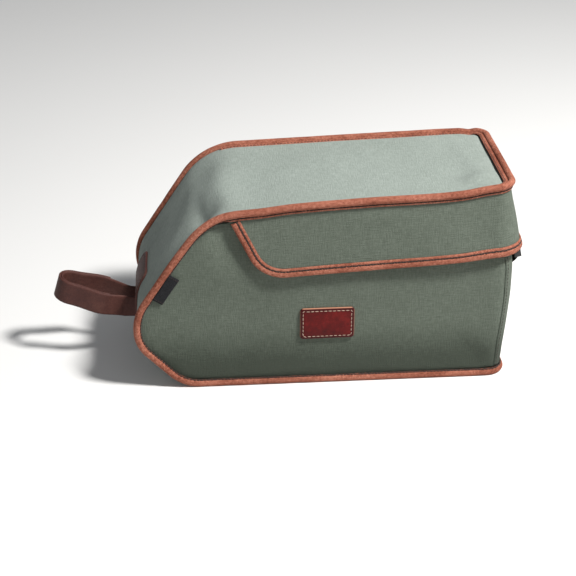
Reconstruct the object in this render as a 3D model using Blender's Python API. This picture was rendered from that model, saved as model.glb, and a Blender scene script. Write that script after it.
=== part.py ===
# Bicycle trunk bag: canvas panels, piped seams, a lid with a deep skirt, a seat-post strap and a rear buckle.
# The nose points to -X, the rear to +X, and the side with the leather patch is -Y. Lengths are in metres.

import math

import bmesh
import bpy
from mathutils import Vector

# Driving dimensions
BAG_LENGTH = 0.3755
BAG_HEIGHT = 0.2045
BASE_HALF_WIDTH = 0.085
CLOTH = 0.0026
CLEARANCE = 0.0003
PIPE_RADIUS = 0.0034
FLANGE_WIDTH = 0.0045
FLANGE_THICKNESS = 0.001
BASE_CORNER_RADIUS = 0.017
LID_CORNER_RADIUS = 0.017

# Canvas panels. Each pair of shares is where a form begins and how far it takes to grow.
PANEL_RISE = 0.0004
PANEL_JOINT = 0.005
TOP_SAG = 0.0016
SIDE_BULGE = 0.0022
REAR_SWELL = 0.0055
TUCK_CLEARANCE = 0.0015
TUCK_LEAD = 0.026
TUCK_RUN = 0.022
BODY_RIM_DROP = 0.010
REAR_SEAM_ANGLE = math.radians(38.0)
REAR_RIM_GAP = 0.012
PANEL_MIDDLE = (0.52, 0.44)
NOSE_PART = 0.3
TUCK_SHARES = (0.56, 0.30)
REAR_SWELL_SHARES = (0.02, 0.42)
BULGE_SHARES = (0.90, 0.74)
STRIP_RISE_SHARE = 0.22
SAG_SHARES = (0.55, 0.35)

# Lid skirt and its binding
SKIRT_FRONT = 0.0950
SKIRT_FRONT_LEAN = 0.031
SKIRT_DROP = 0.0695
SKIRT_FILLET = 0.040
SKIRT_SET_BACK = 0.0008
SKIRT_FRONT_FLARE = 0.0066
SKIRT_SIDE_FLARE = 0.0120
SKIRT_REAR_FLARE = 0.0150
BINDING_WIDTH = 0.0092
BINDING_THICKNESS = 0.001
BINDING_START_SHARE = 0.3
SKIRT_CORNER_SHARE = 0.45

# Leather patch and woven tab on the left side
PATCH_CENTRE_X = 0.1915
PATCH_CENTRE_Z = 0.0665
PATCH_LENGTH = 0.055
PATCH_HEIGHT = 0.035
PATCH_CORNER = 0.0035
PATCH_THICKNESS = 0.002
TAB_LENGTH = 0.033
TAB_WIDTH = 0.011
TAB_THICKNESS = 0.0008
TAB_HEIGHT_SHARE = 0.562

# Seat-post strap
STRAP_WIDTH = 0.024
STRAP_THICKNESS = 0.0022
STRAP_TILT = math.radians(17.0)
STRAP_REACH = 0.0790
STRAP_ROOT_HALF = 0.0140
STRAP_BELLY_HALF = 0.0215
STRAP_POST_RADIUS = 0.0165
STRAP_ROOT_HEIGHT = 0.0530
STRAP_OVERLAP_SHARE = 0.36
ANCHOR_HALF_WIDTH = 0.028
ANCHOR_BOTTOM = 0.036
ANCHOR_TOP = 0.098
ANCHOR_THICKNESS = 0.002

# Rear buckle and its webbing
WEBBING_WIDTH = 0.020
WEBBING_THICKNESS = 0.0014
WEBBING_START = 0.034
BUCKLE_WIDTH = 0.030
BUCKLE_THICKNESS = 0.0072
MALE_LENGTH = 0.012
FEMALE_LENGTH = 0.026
MALE_THICKNESS_SHARE = 0.74
BUCKLE_CHAMFER_SHARE = 0.18
BUCKLE_END_SHARE = 0.06
WEBBING_STEP_UP = 0.004
LOWER_WEBBING_END = 0.045

# How finely curves and long runs are cut
ARC_STEP = math.radians(11.0)
STRAIGHT_STEP = 0.034
CORNER_STEPS = 6
FILLET_STEPS = 8
SEAM_STEPS = 7
REAR_STEPS = 10
PIPE_SIDES = 11
STRAP_STEPS = 7
BOW_STEPS = 10
WEBBING_STEPS = 5

# Corners of the side outline, read along the piping from the rear foot round the nose to the lid's rear edge
SIDE_CORNERS = (
    {"name": "rear_foot", "length_share": 1.0, "height_share": 0.0, "fillet_share": 0.0},
    {"name": "keel", "length_share": 0.121, "height_share": 0.0, "fillet_share": 0.186},
    {"name": "nose_low", "length_share": 0.0, "height_share": 0.232, "fillet_share": 0.181},
    {"name": "nose_high", "length_share": 0.0, "height_share": 0.390, "fillet_share": 0.245},
    {"name": "bend", "length_share": 0.197, "height_share": 0.941, "fillet_share": 0.352},
    {"name": "rear_top", "length_share": 1.0, "height_share": 1.0, "fillet_share": 0.0},
)

# Half width of the lid's piped edge along the top
LID_WIDTHS = (
    {"name": "bend", "length_share": 0.197, "width_share": 1.0},
    {"name": "middle", "length_share": 0.600, "width_share": 0.976},
    {"name": "shoulder", "length_share": 0.860, "width_share": 0.953},
    {"name": "rear", "length_share": 1.0, "width_share": 0.918},
)

# Soft hollows of the top panel: place and reach along the bag and across it, and depth
DENTS = (
    {"name": "saddle_dent", "length_share": 0.215, "across": -0.42, "reach": 0.050, "spread": 0.30, "depth": 0.018},
    {"name": "bend_fold", "length_share": 0.190, "across": 0.55, "reach": 0.045, "spread": 0.35, "depth": 0.010},
    {"name": "rear_crease", "length_share": 0.880, "across": -0.30, "reach": 0.035, "spread": 0.45, "depth": 0.006},
)

ACROSS = (-1.0, -0.93, -0.78, -0.56, -0.28, 0.0, 0.28, 0.56, 0.78, 0.93, 1.0)
RINGS = (1.0, 0.90, 0.72, 0.50, 0.26)


def mix(a, b, share):
    return a + (b - a) * share


def ease(value):
    t = min(max(value, 0.0), 1.0)
    return t * t * (3.0 - 2.0 * t)


def read_table(rows, key, value, at):
    if at <= rows[0][key]:
        return rows[0][value]
    for low, high in zip(rows, rows[1:]):
        if at <= high[key]:
            share = (at - low[key]) / (high[key] - low[key])
            return mix(low[value], high[value], share)
    return rows[-1][value]


def make_material(name, colour, roughness, metallic=0.0):
    material = bpy.data.materials.new(name)
    material.use_nodes = True
    shader = material.node_tree.nodes["Principled BSDF"]
    shader.inputs["Base Color"].default_value = (*colour, 1.0)
    shader.inputs["Roughness"].default_value = roughness
    shader.inputs["Metallic"].default_value = metallic
    material.diffuse_color = (*colour, 1.0)
    return material


def make_object(name, vertices, faces, material):
    mesh = bpy.data.meshes.new(name)
    mesh.from_pydata([tuple(v) for v in vertices], [], faces)
    shape = bmesh.new()
    shape.from_mesh(mesh)
    bmesh.ops.recalc_face_normals(shape, faces=shape.faces)
    shape.to_mesh(mesh)
    shape.free()
    mesh.shade_smooth()
    mesh.set_sharp_from_angle(angle=math.radians(40.0))
    mesh.materials.append(material)
    item = bpy.data.objects.new(name, mesh)
    bpy.context.scene.collection.objects.link(item)
    return item


def sheet_solid(name, outer, inner, material):
    # A cloth panel: two grids of points, joined round the rim.
    rows = len(outer)
    columns = len(outer[0])
    vertices = [p for row in outer for p in row] + [p for row in inner for p in row]
    back = rows * columns
    faces = []
    for r in range(rows - 1):
        for c in range(columns - 1):
            start = r * columns + c
            quad = (start, start + 1, start + columns + 1, start + columns)
            faces.append(quad)
            faces.append(tuple(back + i for i in reversed(quad)))
    rim = [c for c in range(columns)]
    rim += [r * columns + columns - 1 for r in range(1, rows)]
    rim += [(rows - 1) * columns + c for c in range(columns - 2, -1, -1)]
    rim += [r * columns for r in range(rows - 2, 0, -1)]
    for a, b in zip(rim, rim[1:] + rim[:1]):
        faces.append((b, a, back + a, back + b))
    return make_object(name, vertices, faces, material)


def disc_solid(name, outer_rings, inner_rings, material):
    # A panel of rings that shrink to one middle point, which is the last ring.
    count = len(outer_rings[0])
    vertices = []
    starts = []
    for rings in (outer_rings, inner_rings):
        starts.append(len(vertices))
        for ring in rings:
            vertices += ring
    faces = []
    last = len(outer_rings) - 2
    for side, base in enumerate(starts):
        for r in range(last):
            for i in range(count):
                j = (i + 1) % count
                a = base + r * count
                b = a + count
                faces.append((a + i, a + j, b + j, b + i))
        middle = base + (last + 1) * count
        for i in range(count):
            a = base + last * count
            faces.append((a + i, a + (i + 1) % count, middle))
    for i in range(count):
        j = (i + 1) % count
        faces.append((starts[0] + i, starts[1] + i, starts[1] + j, starts[0] + j))
    return make_object(name, vertices, faces, material)


def sweep_solid(name, frames, profile, material, closed):
    # Each frame is a point with two axes, and the profile is drawn on those axes.
    vertices = []
    for point, across, along in frames:
        for a, b in profile:
            vertices.append(point + across * a + along * b)
    size = len(profile)
    count = len(frames)
    faces = []
    for i in range(count if closed else count - 1):
        here = i * size
        there = ((i + 1) % count) * size
        for k in range(size):
            m = (k + 1) % size
            faces.append((here + k, here + m, there + m, there + k))
    if not closed:
        faces.append(tuple(range(size)))
        faces.append(tuple(range((count - 1) * size, count * size)))
    return make_object(name, vertices, faces, material)


def side_outline():
    # The piping's centre line in side view, from the rear foot to the lid's rear edge.
    corners = [(row["length_share"] * BAG_LENGTH, row["height_share"] * BAG_HEIGHT) for row in SIDE_CORNERS]
    radii = [row["fillet_share"] * BAG_HEIGHT for row in SIDE_CORNERS]
    points = [corners[0]]
    for i in range(1, len(corners) - 1):
        before = Vector(corners[i - 1])
        here = Vector(corners[i])
        after = Vector(corners[i + 1])
        way_in = (here - before).normalized()
        way_out = (after - here).normalized()
        turn = math.acos(max(-1.0, min(1.0, way_in.dot(way_out))))
        reach = radii[i] * math.tan(turn / 2.0)
        start = here - way_in * reach
        inward = Vector((way_in.y, -way_in.x))
        hub = start + inward * radii[i]
        steps = max(2, math.ceil(turn / ARC_STEP))
        for k in range(steps + 1):
            angle = turn * k / steps
            points.append(tuple(hub - inward * radii[i] * math.cos(angle) + way_in * radii[i] * math.sin(angle)))
    points.append(corners[-1])
    return points


def add_steps(points):
    # Cuts the long straight runs into shorter ones.
    finer = [points[0]]
    for a, b in zip(points, points[1:]):
        length = math.dist(a, b)
        cuts = max(1, math.ceil(length / STRAIGHT_STEP))
        for k in range(1, cuts + 1):
            finer.append((mix(a[0], b[0], k / cuts), mix(a[1], b[1], k / cuts)))
    return finer


def with_normals(points):
    stations = []
    for i, (x, z) in enumerate(points):
        before = points[max(i - 1, 0)]
        after = points[min(i + 1, len(points) - 1)]
        dx = after[0] - before[0]
        dz = after[1] - before[1]
        size = math.hypot(dx, dz)
        stations.append((x, z, -dz / size, dx / size))
    return stations


def run_between(first_x, last_x):
    # The outline with both ends moved, along its straight foot and its straight top.
    return [(first_x, 0.0)] + OUTLINE[1:-1] + [(last_x, seam_height(last_x))]


def seam_height(x):
    top = [p for p in OUTLINE if p[1] > BAG_HEIGHT / 2.0]
    for a, b in zip(top, top[1:]):
        if x <= b[0]:
            return mix(a[1], b[1], max(0.0, (x - a[0]) / (b[0] - a[0])))
    return top[-1][1]


def nose_x(z):
    # Where the piping's centre line passes a height, on the front of the bag.
    front = [p for p in OUTLINE if p[0] < BAG_LENGTH * NOSE_PART]
    for a, b in zip(front, front[1:]):
        if a[1] <= z <= b[1] and b[1] > a[1]:
            return mix(a[0], b[0], (z - a[1]) / (b[1] - a[1]))
    return front[-1][0]


def seam_half(x, z):
    if z < BAG_HEIGHT / 2.0:
        return BASE_HALF_WIDTH
    return BASE_HALF_WIDTH * read_table(LID_WIDTHS, "length_share", "width_share", x / BAG_LENGTH)


def quarter_turn():
    return [math.pi / 2.0 * k / CORNER_STEPS for k in range(CORNER_STEPS + 1)]


def seam_loop():
    # The whole piped seam as frames: a point, the way out of the side (b) and the way out of the strip (n).
    start_x = BAG_LENGTH - BASE_CORNER_RADIUS
    end_x = BAG_LENGTH - LID_CORNER_RADIUS
    side = with_normals(add_steps(run_between(start_x, end_x)))
    half = []
    for x, z, nx, nz in side:
        out = Vector((0.0, -1.0, 0.0))
        half.append((Vector((x, -seam_half(x, z), z)), out, Vector((nx, 0.0, nz))))
    for angle in quarter_turn()[1:]:
        half.append(corner_frame(end_x, seam_half(end_x, BAG_HEIGHT), LID_CORNER_RADIUS, angle, 1.0))
    foot = []
    for angle in quarter_turn()[1:]:
        foot.append(corner_frame(start_x, BASE_HALF_WIDTH, BASE_CORNER_RADIUS, angle, -1.0))
    half = foot[::-1] + half
    other = [(mirrored(p), mirrored(b), mirrored(n)) for p, b, n in reversed(half)]
    return half + other


def corner_frame(hub_x, half_width, radius, angle, up):
    out = Vector((math.sin(angle), -math.cos(angle), 0.0))
    hub = Vector((hub_x, radius - half_width, 0.0))
    point = hub + out * radius
    point.z = seam_height(point.x) if up > 0.0 else 0.0
    return point, out, Vector((0.0, 0.0, up))


def mirrored(vector):
    return Vector((vector.x, -vector.y, vector.z))


def strip_rise(z):
    # The strip lies flush with the piping's underside at the foot and just above its centre elsewhere.
    return mix(PIPE_RADIUS, PANEL_RISE, ease(z / (BAG_HEIGHT * STRIP_RISE_SHARE)))


def strip_stations():
    # Stations of the long strip: place on the seam, normal, and half width inside the piping.
    inset = PIPE_RADIUS + CLEARANCE
    hub_x = BAG_LENGTH - LID_CORNER_RADIUS
    run = run_between(STRIP_START - CLEARANCE, hub_x)
    stations = []
    for x, z, nx, nz in with_normals(add_steps(run)):
        stations.append((x, z, nx, nz, seam_half(x, z) - inset))
    hub_half = seam_half(hub_x, BAG_HEIGHT) - LID_CORNER_RADIUS
    nx, nz = stations[-1][2:4]
    for angle in quarter_turn()[1:]:
        x = hub_x + (LID_CORNER_RADIUS - inset) * math.sin(angle)
        half = hub_half + (LID_CORNER_RADIUS - inset) * math.cos(angle)
        stations.append((x, seam_height(x), nx, nz, half))
    return stations


def dent_depth(x, z, across):
    if z < BAG_HEIGHT / 2.0:
        return 0.0
    depth = TOP_SAG * (1.0 - across ** 4) * ease((z / BAG_HEIGHT - SAG_SHARES[0]) / SAG_SHARES[1])
    edge = 1.0 - across ** 8
    for dent in DENTS:
        along = (x / BAG_LENGTH - dent["length_share"]) / dent["reach"]
        sideways = (across - dent["across"]) / dent["spread"]
        depth += dent["depth"] * BAG_HEIGHT * edge * math.exp(-along ** 2 - sideways ** 2)
    return depth


def make_front_top_panel(material):
    outer = []
    inner = []
    for x, z, nx, nz, half in strip_stations():
        outer_row = []
        inner_row = []
        for across in ACROSS:
            rise = strip_rise(z) - dent_depth(x, z, across)
            point = Vector((x, half * across, z))
            normal = Vector((nx, 0.0, nz))
            outer_row.append(point + normal * rise)
            inner_row.append(point + normal * (rise - CLOTH))
        outer.append(outer_row)
        inner.append(inner_row)
    return sheet_solid("front_top_panel", outer, inner, material)


def make_bottom_panel(material):
    inset = PIPE_RADIUS + CLEARANCE
    radius = BASE_CORNER_RADIUS - inset
    hub_x = BAG_LENGTH - BASE_CORNER_RADIUS
    rows = [(STRIP_START, BASE_HALF_WIDTH - inset), (hub_x, BASE_HALF_WIDTH - inset)]
    for angle in quarter_turn()[1:]:
        rows.append((hub_x + radius * math.sin(angle), BASE_HALF_WIDTH - inset - radius * (1.0 - math.cos(angle))))
    outer = [[Vector((x, side * half, -PIPE_RADIUS)) for side in (-1.0, 0.0, 1.0)] for x, half in rows]
    inner = [[p + Vector((0.0, 0.0, CLOTH)) for p in row] for row in outer]
    return sheet_solid("bottom_panel", outer, inner, material)


def lid_inner_half(x):
    return seam_half(x, BAG_HEIGHT) - SKIRT_SET_BACK - CLOTH - TUCK_CLEARANCE


def tuck_share(z):
    # How far the wall has drawn in under the lid at a height.
    return ease((z / BAG_HEIGHT - TUCK_SHARES[0]) / TUCK_SHARES[1])


def wall_half(x, z, swell):
    under_lid = ease((x - SKIRT_FRONT + TUCK_LEAD) / TUCK_RUN)
    return mix(BASE_HALF_WIDTH + swell, lid_inner_half(x), tuck_share(z) * under_lid)


def wall_rear(z):
    rear = BAG_LENGTH + REAR_SWELL * ease((z / BAG_HEIGHT - REAR_SWELL_SHARES[0]) / REAR_SWELL_SHARES[1])
    top_rear = BAG_LENGTH - SKIRT_SET_BACK - CLOTH - TUCK_CLEARANCE
    return mix(rear, top_rear, tuck_share(z))


def wall_point(along, z, swell, depth):
    # A point of the near wall: straight along the side, then round the rear corner.
    rear = wall_rear(z)
    hub_x = rear - BASE_CORNER_RADIUS
    if along <= hub_x:
        return Vector((along, depth - wall_half(along, z, swell), z))
    angle = (along - hub_x) / BASE_CORNER_RADIUS
    out = Vector((math.sin(angle), -math.cos(angle), 0.0))
    hub = Vector((hub_x, BASE_CORNER_RADIUS - wall_half(hub_x, z, swell), z))
    return hub + out * (BASE_CORNER_RADIUS - depth)


def rear_seam(z):
    return wall_rear(z) - BASE_CORNER_RADIUS * (1.0 - REAR_SEAM_ANGLE)


def panel_edge():
    # The side panel's edge as (along, height): inside the piping, then below the lid, then down the rear seam.
    inset = PIPE_RADIUS + CLEARANCE
    foot = BAG_LENGTH - BASE_CORNER_RADIUS
    run = with_normals(add_steps(run_between(foot, BAG_LENGTH - BASE_CORNER_RADIUS)))
    edge = [(rear_seam(0.0), inset)]
    for x, z, nx, nz in run:
        step = inset
        if z > BAG_HEIGHT / 2.0:
            step = mix(inset, BODY_RIM_DROP, ease((x - SKIRT_FRONT + TUCK_LEAD) / TUCK_RUN))
        edge.append((x - nx * step, z - nz * step))
    rim = seam_height(BAG_LENGTH) - BODY_RIM_DROP
    edge[-1] = (min(edge[-1][0], rear_seam(rim) - REAR_RIM_GAP), edge[-1][1])
    for k in range(SEAM_STEPS):
        z = mix(rim, inset, k / SEAM_STEPS)
        edge.append((rear_seam(z), z))
    return edge


def panel_middle():
    return Vector((BAG_LENGTH * PANEL_MIDDLE[0], BAG_HEIGHT * PANEL_MIDDLE[1]))


def ring_swell(share):
    return SIDE_BULGE * ease((BULGE_SHARES[0] - share) / BULGE_SHARES[1])


def make_side_panel(name, side, material):
    edge = panel_edge()
    middle = panel_middle()
    rings = {0.0: [], CLOTH: []}
    for depth, loops in rings.items():
        for share in RINGS:
            loop = []
            for along, z in edge:
                spot = middle.lerp(Vector((along, z)), share)
                loop.append(wall_point(spot.x, spot.y, ring_swell(share), depth))
            loops.append(loop)
        loops.append([wall_point(*middle, ring_swell(0.0), depth)])
    if side > 0.0:
        rings = {depth: [[mirrored(p) for p in loop] for loop in loops] for depth, loops in rings.items()}
    return disc_solid(name, rings[0.0], rings[CLOTH], material)


def make_rear_panel(material):
    inset = PIPE_RADIUS + CLEARANCE
    rim = seam_height(BAG_LENGTH) - BODY_RIM_DROP
    outer = []
    inner = []
    for k in range(REAR_STEPS + 1):
        z = mix(inset, rim, k / REAR_STEPS)
        outer.append(rear_row(z, 0.0))
        inner.append(rear_row(z, CLOTH))
    return sheet_solid("rear_panel", outer, inner, material)


def rear_row(z, depth):
    first = rear_seam(z) + CLEARANCE
    corner = wall_rear(z) - BASE_CORNER_RADIUS * (1.0 - math.pi / 2.0)
    near = [wall_point(mix(first, corner, k / 4.0), z, 0.0, depth) for k in range(5)]
    half = -near[-1].y
    flat = [Vector((near[-1].x, half * share, z)) for share in (-0.5, 0.0, 0.5)]
    return near + flat + [mirrored(p) for p in reversed(near)]


def skirt_edge_points():
    # The skirt's lower edge as (x, depth below the seam), with its front corner rounded by an arc.
    top = Vector((SKIRT_FRONT, SKIRT_TOP))
    corner = Vector((SKIRT_FRONT + SKIRT_FRONT_LEAN, SKIRT_DROP))
    way_in = (corner - top).normalized()
    turn = math.acos(way_in.x)
    reach = SKIRT_FILLET * math.tan(turn / 2.0)
    start = corner - way_in * reach
    inward = Vector((way_in.y, -way_in.x))
    hub = start + inward * SKIRT_FILLET
    points = [tuple(mix(top, start, k / 3.0)) for k in range(3)]
    for k in range(FILLET_STEPS + 1):
        angle = turn * k / FILLET_STEPS
        spot = hub - inward * SKIRT_FILLET * math.cos(angle) + way_in * SKIRT_FILLET * math.sin(angle)
        points.append(tuple(spot))
    return points


def skirt_stations():
    # Plan stations of the skirt on the near half: seam point, way out, flare at the full drop, and depth.
    hub_x = BAG_LENGTH - LID_CORNER_RADIUS
    out = Vector((0.0, -1.0, 0.0))
    places = list(SKIRT_EDGE)
    last = places[-1][0]
    cuts = math.ceil((hub_x - last) / STRAIGHT_STEP)
    places += [(mix(last, hub_x, k / cuts), SKIRT_DROP) for k in range(1, cuts + 1)]
    stations = []
    for x, depth in places:
        share = (x - SKIRT_FRONT) / (hub_x - SKIRT_FRONT)
        flare = mix(SKIRT_FRONT_FLARE, SKIRT_SIDE_FLARE, share)
        stations.append((Vector((x, -seam_half(x, BAG_HEIGHT), seam_height(x))), out, flare, depth))
    half = seam_half(hub_x, BAG_HEIGHT)
    for angle in quarter_turn()[1:]:
        point, way, _ = corner_frame(hub_x, half, LID_CORNER_RADIUS, angle, 1.0)
        flare = mix(SKIRT_SIDE_FLARE, SKIRT_REAR_FLARE, angle / (math.pi / 2.0))
        stations.append((point, way, flare, SKIRT_DROP))
    return stations


def full_skirt_stations():
    near = skirt_stations()
    point, way, flare, depth = near[-1]
    rear = [(Vector((point.x, point.y * share, point.z)), way, flare, depth) for share in (0.5, 0.0, -0.5)]
    far = [(mirrored(p), mirrored(b), flare, depth) for p, b, flare, depth in reversed(near)]
    return near + rear + far


def skirt_point(station, depth, inward):
    point, way, flare, _ = station
    share = (depth - SKIRT_TOP) / (SKIRT_DROP - SKIRT_TOP)
    return point + way * (flare * share - SKIRT_SET_BACK - inward) - Vector((0.0, 0.0, depth))


def make_lid_skirt(material):
    stations = full_skirt_stations()
    rows = (0.0, 0.2, 0.4, 0.6, 0.8, 1.0)
    grids = {0.0: [], CLOTH: []}
    for inward, grid in grids.items():
        for station in stations:
            low = max(station[3], SKIRT_TOP + BINDING_WIDTH * SKIRT_CORNER_SHARE)
            grid.append([skirt_point(station, mix(SKIRT_TOP, low, row), inward) for row in rows])
    return sheet_solid("lid_skirt", grids[0.0], grids[CLOTH], material)


def make_lid_binding(material):
    # A folded tape round the skirt's free edge, from below the piping's flange on one side to the other.
    start = PIPE_RADIUS + FLANGE_WIDTH + BINDING_THICKNESS
    stations = full_skirt_stations()
    kept = [s for s in stations if s[3] > start + BINDING_WIDTH * BINDING_START_SHARE]
    edge = [skirt_point(s, s[3], 0.0) for s in kept]
    frames = []
    for i, station in enumerate(kept):
        way = (edge[min(i + 1, len(edge) - 1)] - edge[max(i - 1, 0)]).normalized()
        face_down = edge[i] - skirt_point(station, station[3] - BINDING_WIDTH, 0.0)
        out = face_down.cross(way).normalized()
        frames.append((edge[i], out, way.cross(out)))
    face = CLEARANCE + BINDING_THICKNESS
    back = -CLOTH - face
    leg = -BINDING_WIDTH + BINDING_THICKNESS
    round_off = BINDING_THICKNESS - CLEARANCE
    profile = (
        (face, leg),
        (face, face - round_off),
        (face - round_off, face),
        (back + round_off, face),
        (back, face - round_off),
        (back, leg),
        (-CLOTH - CLEARANCE, leg),
        (-CLOTH - CLEARANCE, CLEARANCE),
        (CLEARANCE, CLEARANCE),
        (CLEARANCE, leg),
    )
    return sweep_solid("lid_binding", frames, profile, material, False)


def make_edge_piping(material):
    # A round roll with the stitched flange that lies on the side panels and on the skirt.
    profile = []
    outer_angle = math.asin((CLEARANCE + FLANGE_THICKNESS) / PIPE_RADIUS)
    inner_angle = math.asin(CLEARANCE / PIPE_RADIUS)
    sweep = 2.0 * math.pi - (outer_angle - inner_angle)
    for k in range(PIPE_SIDES + 1):
        angle = outer_angle + sweep * k / PIPE_SIDES
        profile.append((PIPE_RADIUS * math.sin(angle), -PIPE_RADIUS * math.cos(angle)))
    tail = -PIPE_RADIUS - FLANGE_WIDTH
    profile.append((CLEARANCE, tail))
    profile.append((CLEARANCE + FLANGE_THICKNESS, tail))
    return sweep_solid("edge_piping", seam_loop(), profile, material, True)


def side_surface(x, z):
    # The left panel's outer face near the patch, whose rings are read back from the place.
    middle = panel_middle()
    spot = Vector((x, z)) - middle
    edge = panel_edge()
    reach = 1.0
    for a, b in zip(edge, edge[1:] + edge[:1]):
        p = Vector(a) - middle
        q = Vector(b) - middle
        spread = p.x * q.y - p.y * q.x
        first = (spot.x * q.y - spot.y * q.x) / spread
        second = (p.x * spot.y - p.y * spot.x) / spread
        if first >= -1e-9 and second >= -1e-9:
            reach = first + second
    return wall_point(x, z, ring_swell(reach), 0.0)


def make_patch(material):
    # A leather patch with round corners that follows the panel's swell.
    half = (PATCH_LENGTH / 2.0, PATCH_HEIGHT / 2.0)
    outline = []
    for corner in range(4):
        sx = 1.0 if corner in (0, 3) else -1.0
        sz = 1.0 if corner in (0, 1) else -1.0
        for k in range(4):
            angle = math.pi / 2.0 * (corner + k / 3.0)
            x = sx * (half[0] - PATCH_CORNER) + PATCH_CORNER * math.cos(angle)
            z = sz * (half[1] - PATCH_CORNER) + PATCH_CORNER * math.sin(angle)
            outline.append((x, z))
    layers = []
    for lift in (CLEARANCE + PATCH_THICKNESS, CLEARANCE):
        loops = []
        for share in (1.0, 0.5, 0.0):
            ring = outline if share > 0.0 else outline[:1]
            loops.append([patch_point(x * share, z * share, lift) for x, z in ring])
        layers.append(loops)
    return disc_solid("side_patch", layers[0], layers[1], material)


def patch_point(x, z, lift):
    return side_surface(PATCH_CENTRE_X + x, PATCH_CENTRE_Z + z) - Vector((0.0, lift, 0.0))


def make_tab(material):
    # A woven tab caught in the front seam, over the piping's flange.
    height = BAG_HEIGHT * TAB_HEIGHT_SHARE
    low = Vector((nose_x(height - TAB_LENGTH * 0.4), 0.0, height - TAB_LENGTH * 0.4))
    high = Vector((nose_x(height + TAB_LENGTH * 0.4), 0.0, height + TAB_LENGTH * 0.4))
    up = (high - low).normalized()
    inward = Vector((up.z, 0.0, -up.x))
    seam = (low + high) / 2.0
    near_edge = PIPE_RADIUS + CLEARANCE
    face = BASE_HALF_WIDTH + CLEARANCE * 2.0 + FLANGE_THICKNESS
    grids = []
    for out in (face + TAB_THICKNESS, face):
        grid = []
        for along in (-0.5, 0.0, 0.5):
            row = [seam + up * (TAB_LENGTH * along) + inward * (near_edge + TAB_WIDTH * k) for k in (0.0, 1.0)]
            grid.append([Vector((q.x, -out, q.z)) for q in row])
        grids.append(grid)
    return sheet_solid("side_tab", grids[0], grids[1], material)


def front_face(z, lift):
    # How far forward the strip's outer face lies at a height, with something of a given thickness on it.
    face = []
    for x, seam_z, nx, nz, _ in strip_stations():
        out = strip_rise(seam_z) + lift
        face.append((x + nx * out, seam_z + nz * out))
    for a, b in zip(face, face[1:]):
        if a[1] <= z <= b[1] and b[1] > a[1]:
            return mix(a[0], b[0], (z - a[1]) / (b[1] - a[1]))
    return face[0][0]


def make_anchor(material):
    # The leather patch on the nose that the strap's two ends are sewn to.
    stations = strip_stations()
    heights = [s[1] for s in stations if ANCHOR_BOTTOM < s[1] < ANCHOR_TOP and s[0] < BAG_LENGTH * NOSE_PART]
    heights = [ANCHOR_BOTTOM] + heights + [ANCHOR_TOP]
    grids = []
    for lift in (CLEARANCE + ANCHOR_THICKNESS, CLEARANCE):
        grid = []
        for z in heights:
            point = front_point(z, lift)
            grid.append([Vector((point.x, ANCHOR_HALF_WIDTH * across, point.z)) for across in (-1.0, 0.0, 1.0)])
        grids.append(grid)
    return sheet_solid("strap_anchor", grids[0], grids[1], material)


def front_point(z, lift):
    # The point of the nose at a seam height, lifted off the strip's outer face.
    stations = [s for s in strip_stations() if s[0] < BAG_LENGTH * NOSE_PART]
    for a, b in zip(stations, stations[1:]):
        if a[1] <= z <= b[1] and b[1] > a[1]:
            share = (z - a[1]) / (b[1] - a[1])
            low = lifted(a, lift)
            high = lifted(b, lift)
            return low.lerp(high, share)
    return lifted(stations[-1], lift)


def lifted(station, lift):
    x, z, nx, nz, _ = station
    out = strip_rise(z) + lift
    return Vector((x + nx * out, 0.0, z + nz * out))


def strap_half(reach):
    # Half the loop's width at a distance from the bag: narrow at its root, a belly, then the post's round.
    hub = STRAP_REACH - STRAP_POST_RADIUS
    if reach < hub * 0.5:
        return mix(STRAP_ROOT_HALF, STRAP_BELLY_HALF, ease(reach / (hub * 0.5)))
    return mix(STRAP_BELLY_HALF, STRAP_POST_RADIUS, ease((reach - hub * 0.5) / (hub * 0.5)))


def strap_path(inset, end_share):
    # From the near root round the post and back as far as the overlap, as (reach, sideways) places.
    hub = STRAP_REACH - STRAP_POST_RADIUS
    cuts = [hub * k / STRAP_STEPS for k in range(STRAP_STEPS + 1)]
    run = [(reach, inset - strap_half(reach)) for reach in cuts]
    radius = STRAP_POST_RADIUS - inset
    bow = []
    for k in range(1, BOW_STEPS):
        angle = math.pi * k / BOW_STEPS
        bow.append((hub + radius * math.sin(angle), -radius * math.cos(angle)))
    back = [(reach, -side) for reach, side in reversed(run) if reach >= hub * end_share]
    return run + bow + back


def make_strap(name, inset, side, material):
    forward = Vector((-math.cos(STRAP_TILT), 0.0, math.sin(STRAP_TILT)))
    upward = Vector((math.sin(STRAP_TILT), 0.0, math.cos(STRAP_TILT)))
    root_gap = CLEARANCE * 2.0 + ANCHOR_THICKNESS
    start = STRAP_WIDTH * math.sin(STRAP_TILT) + root_gap
    root = Vector((front_face(STRAP_ROOT_HEIGHT, start), 0.0, STRAP_ROOT_HEIGHT))
    places = [root + forward * reach + Vector((0.0, sideways * side, 0.0))
              for reach, sideways in strap_path(inset, STRAP_OVERLAP_SHARE)]
    grids = []
    for lift in (STRAP_THICKNESS / 2.0, -STRAP_THICKNESS / 2.0):
        grid = []
        for i, place in enumerate(places):
            way = (places[min(i + 1, len(places) - 1)] - places[max(i - 1, 0)]).normalized()
            across = way.cross(upward).normalized()
            grid.append([place + across * lift + upward * (STRAP_WIDTH * k) for k in (-0.5, -0.25, 0.0, 0.25, 0.5)])
        for point in grid[0]:
            point.x = front_face(point.z, root_gap)
        grids.append(grid)
    return sheet_solid(name, grids[0], grids[1], material)


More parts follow.
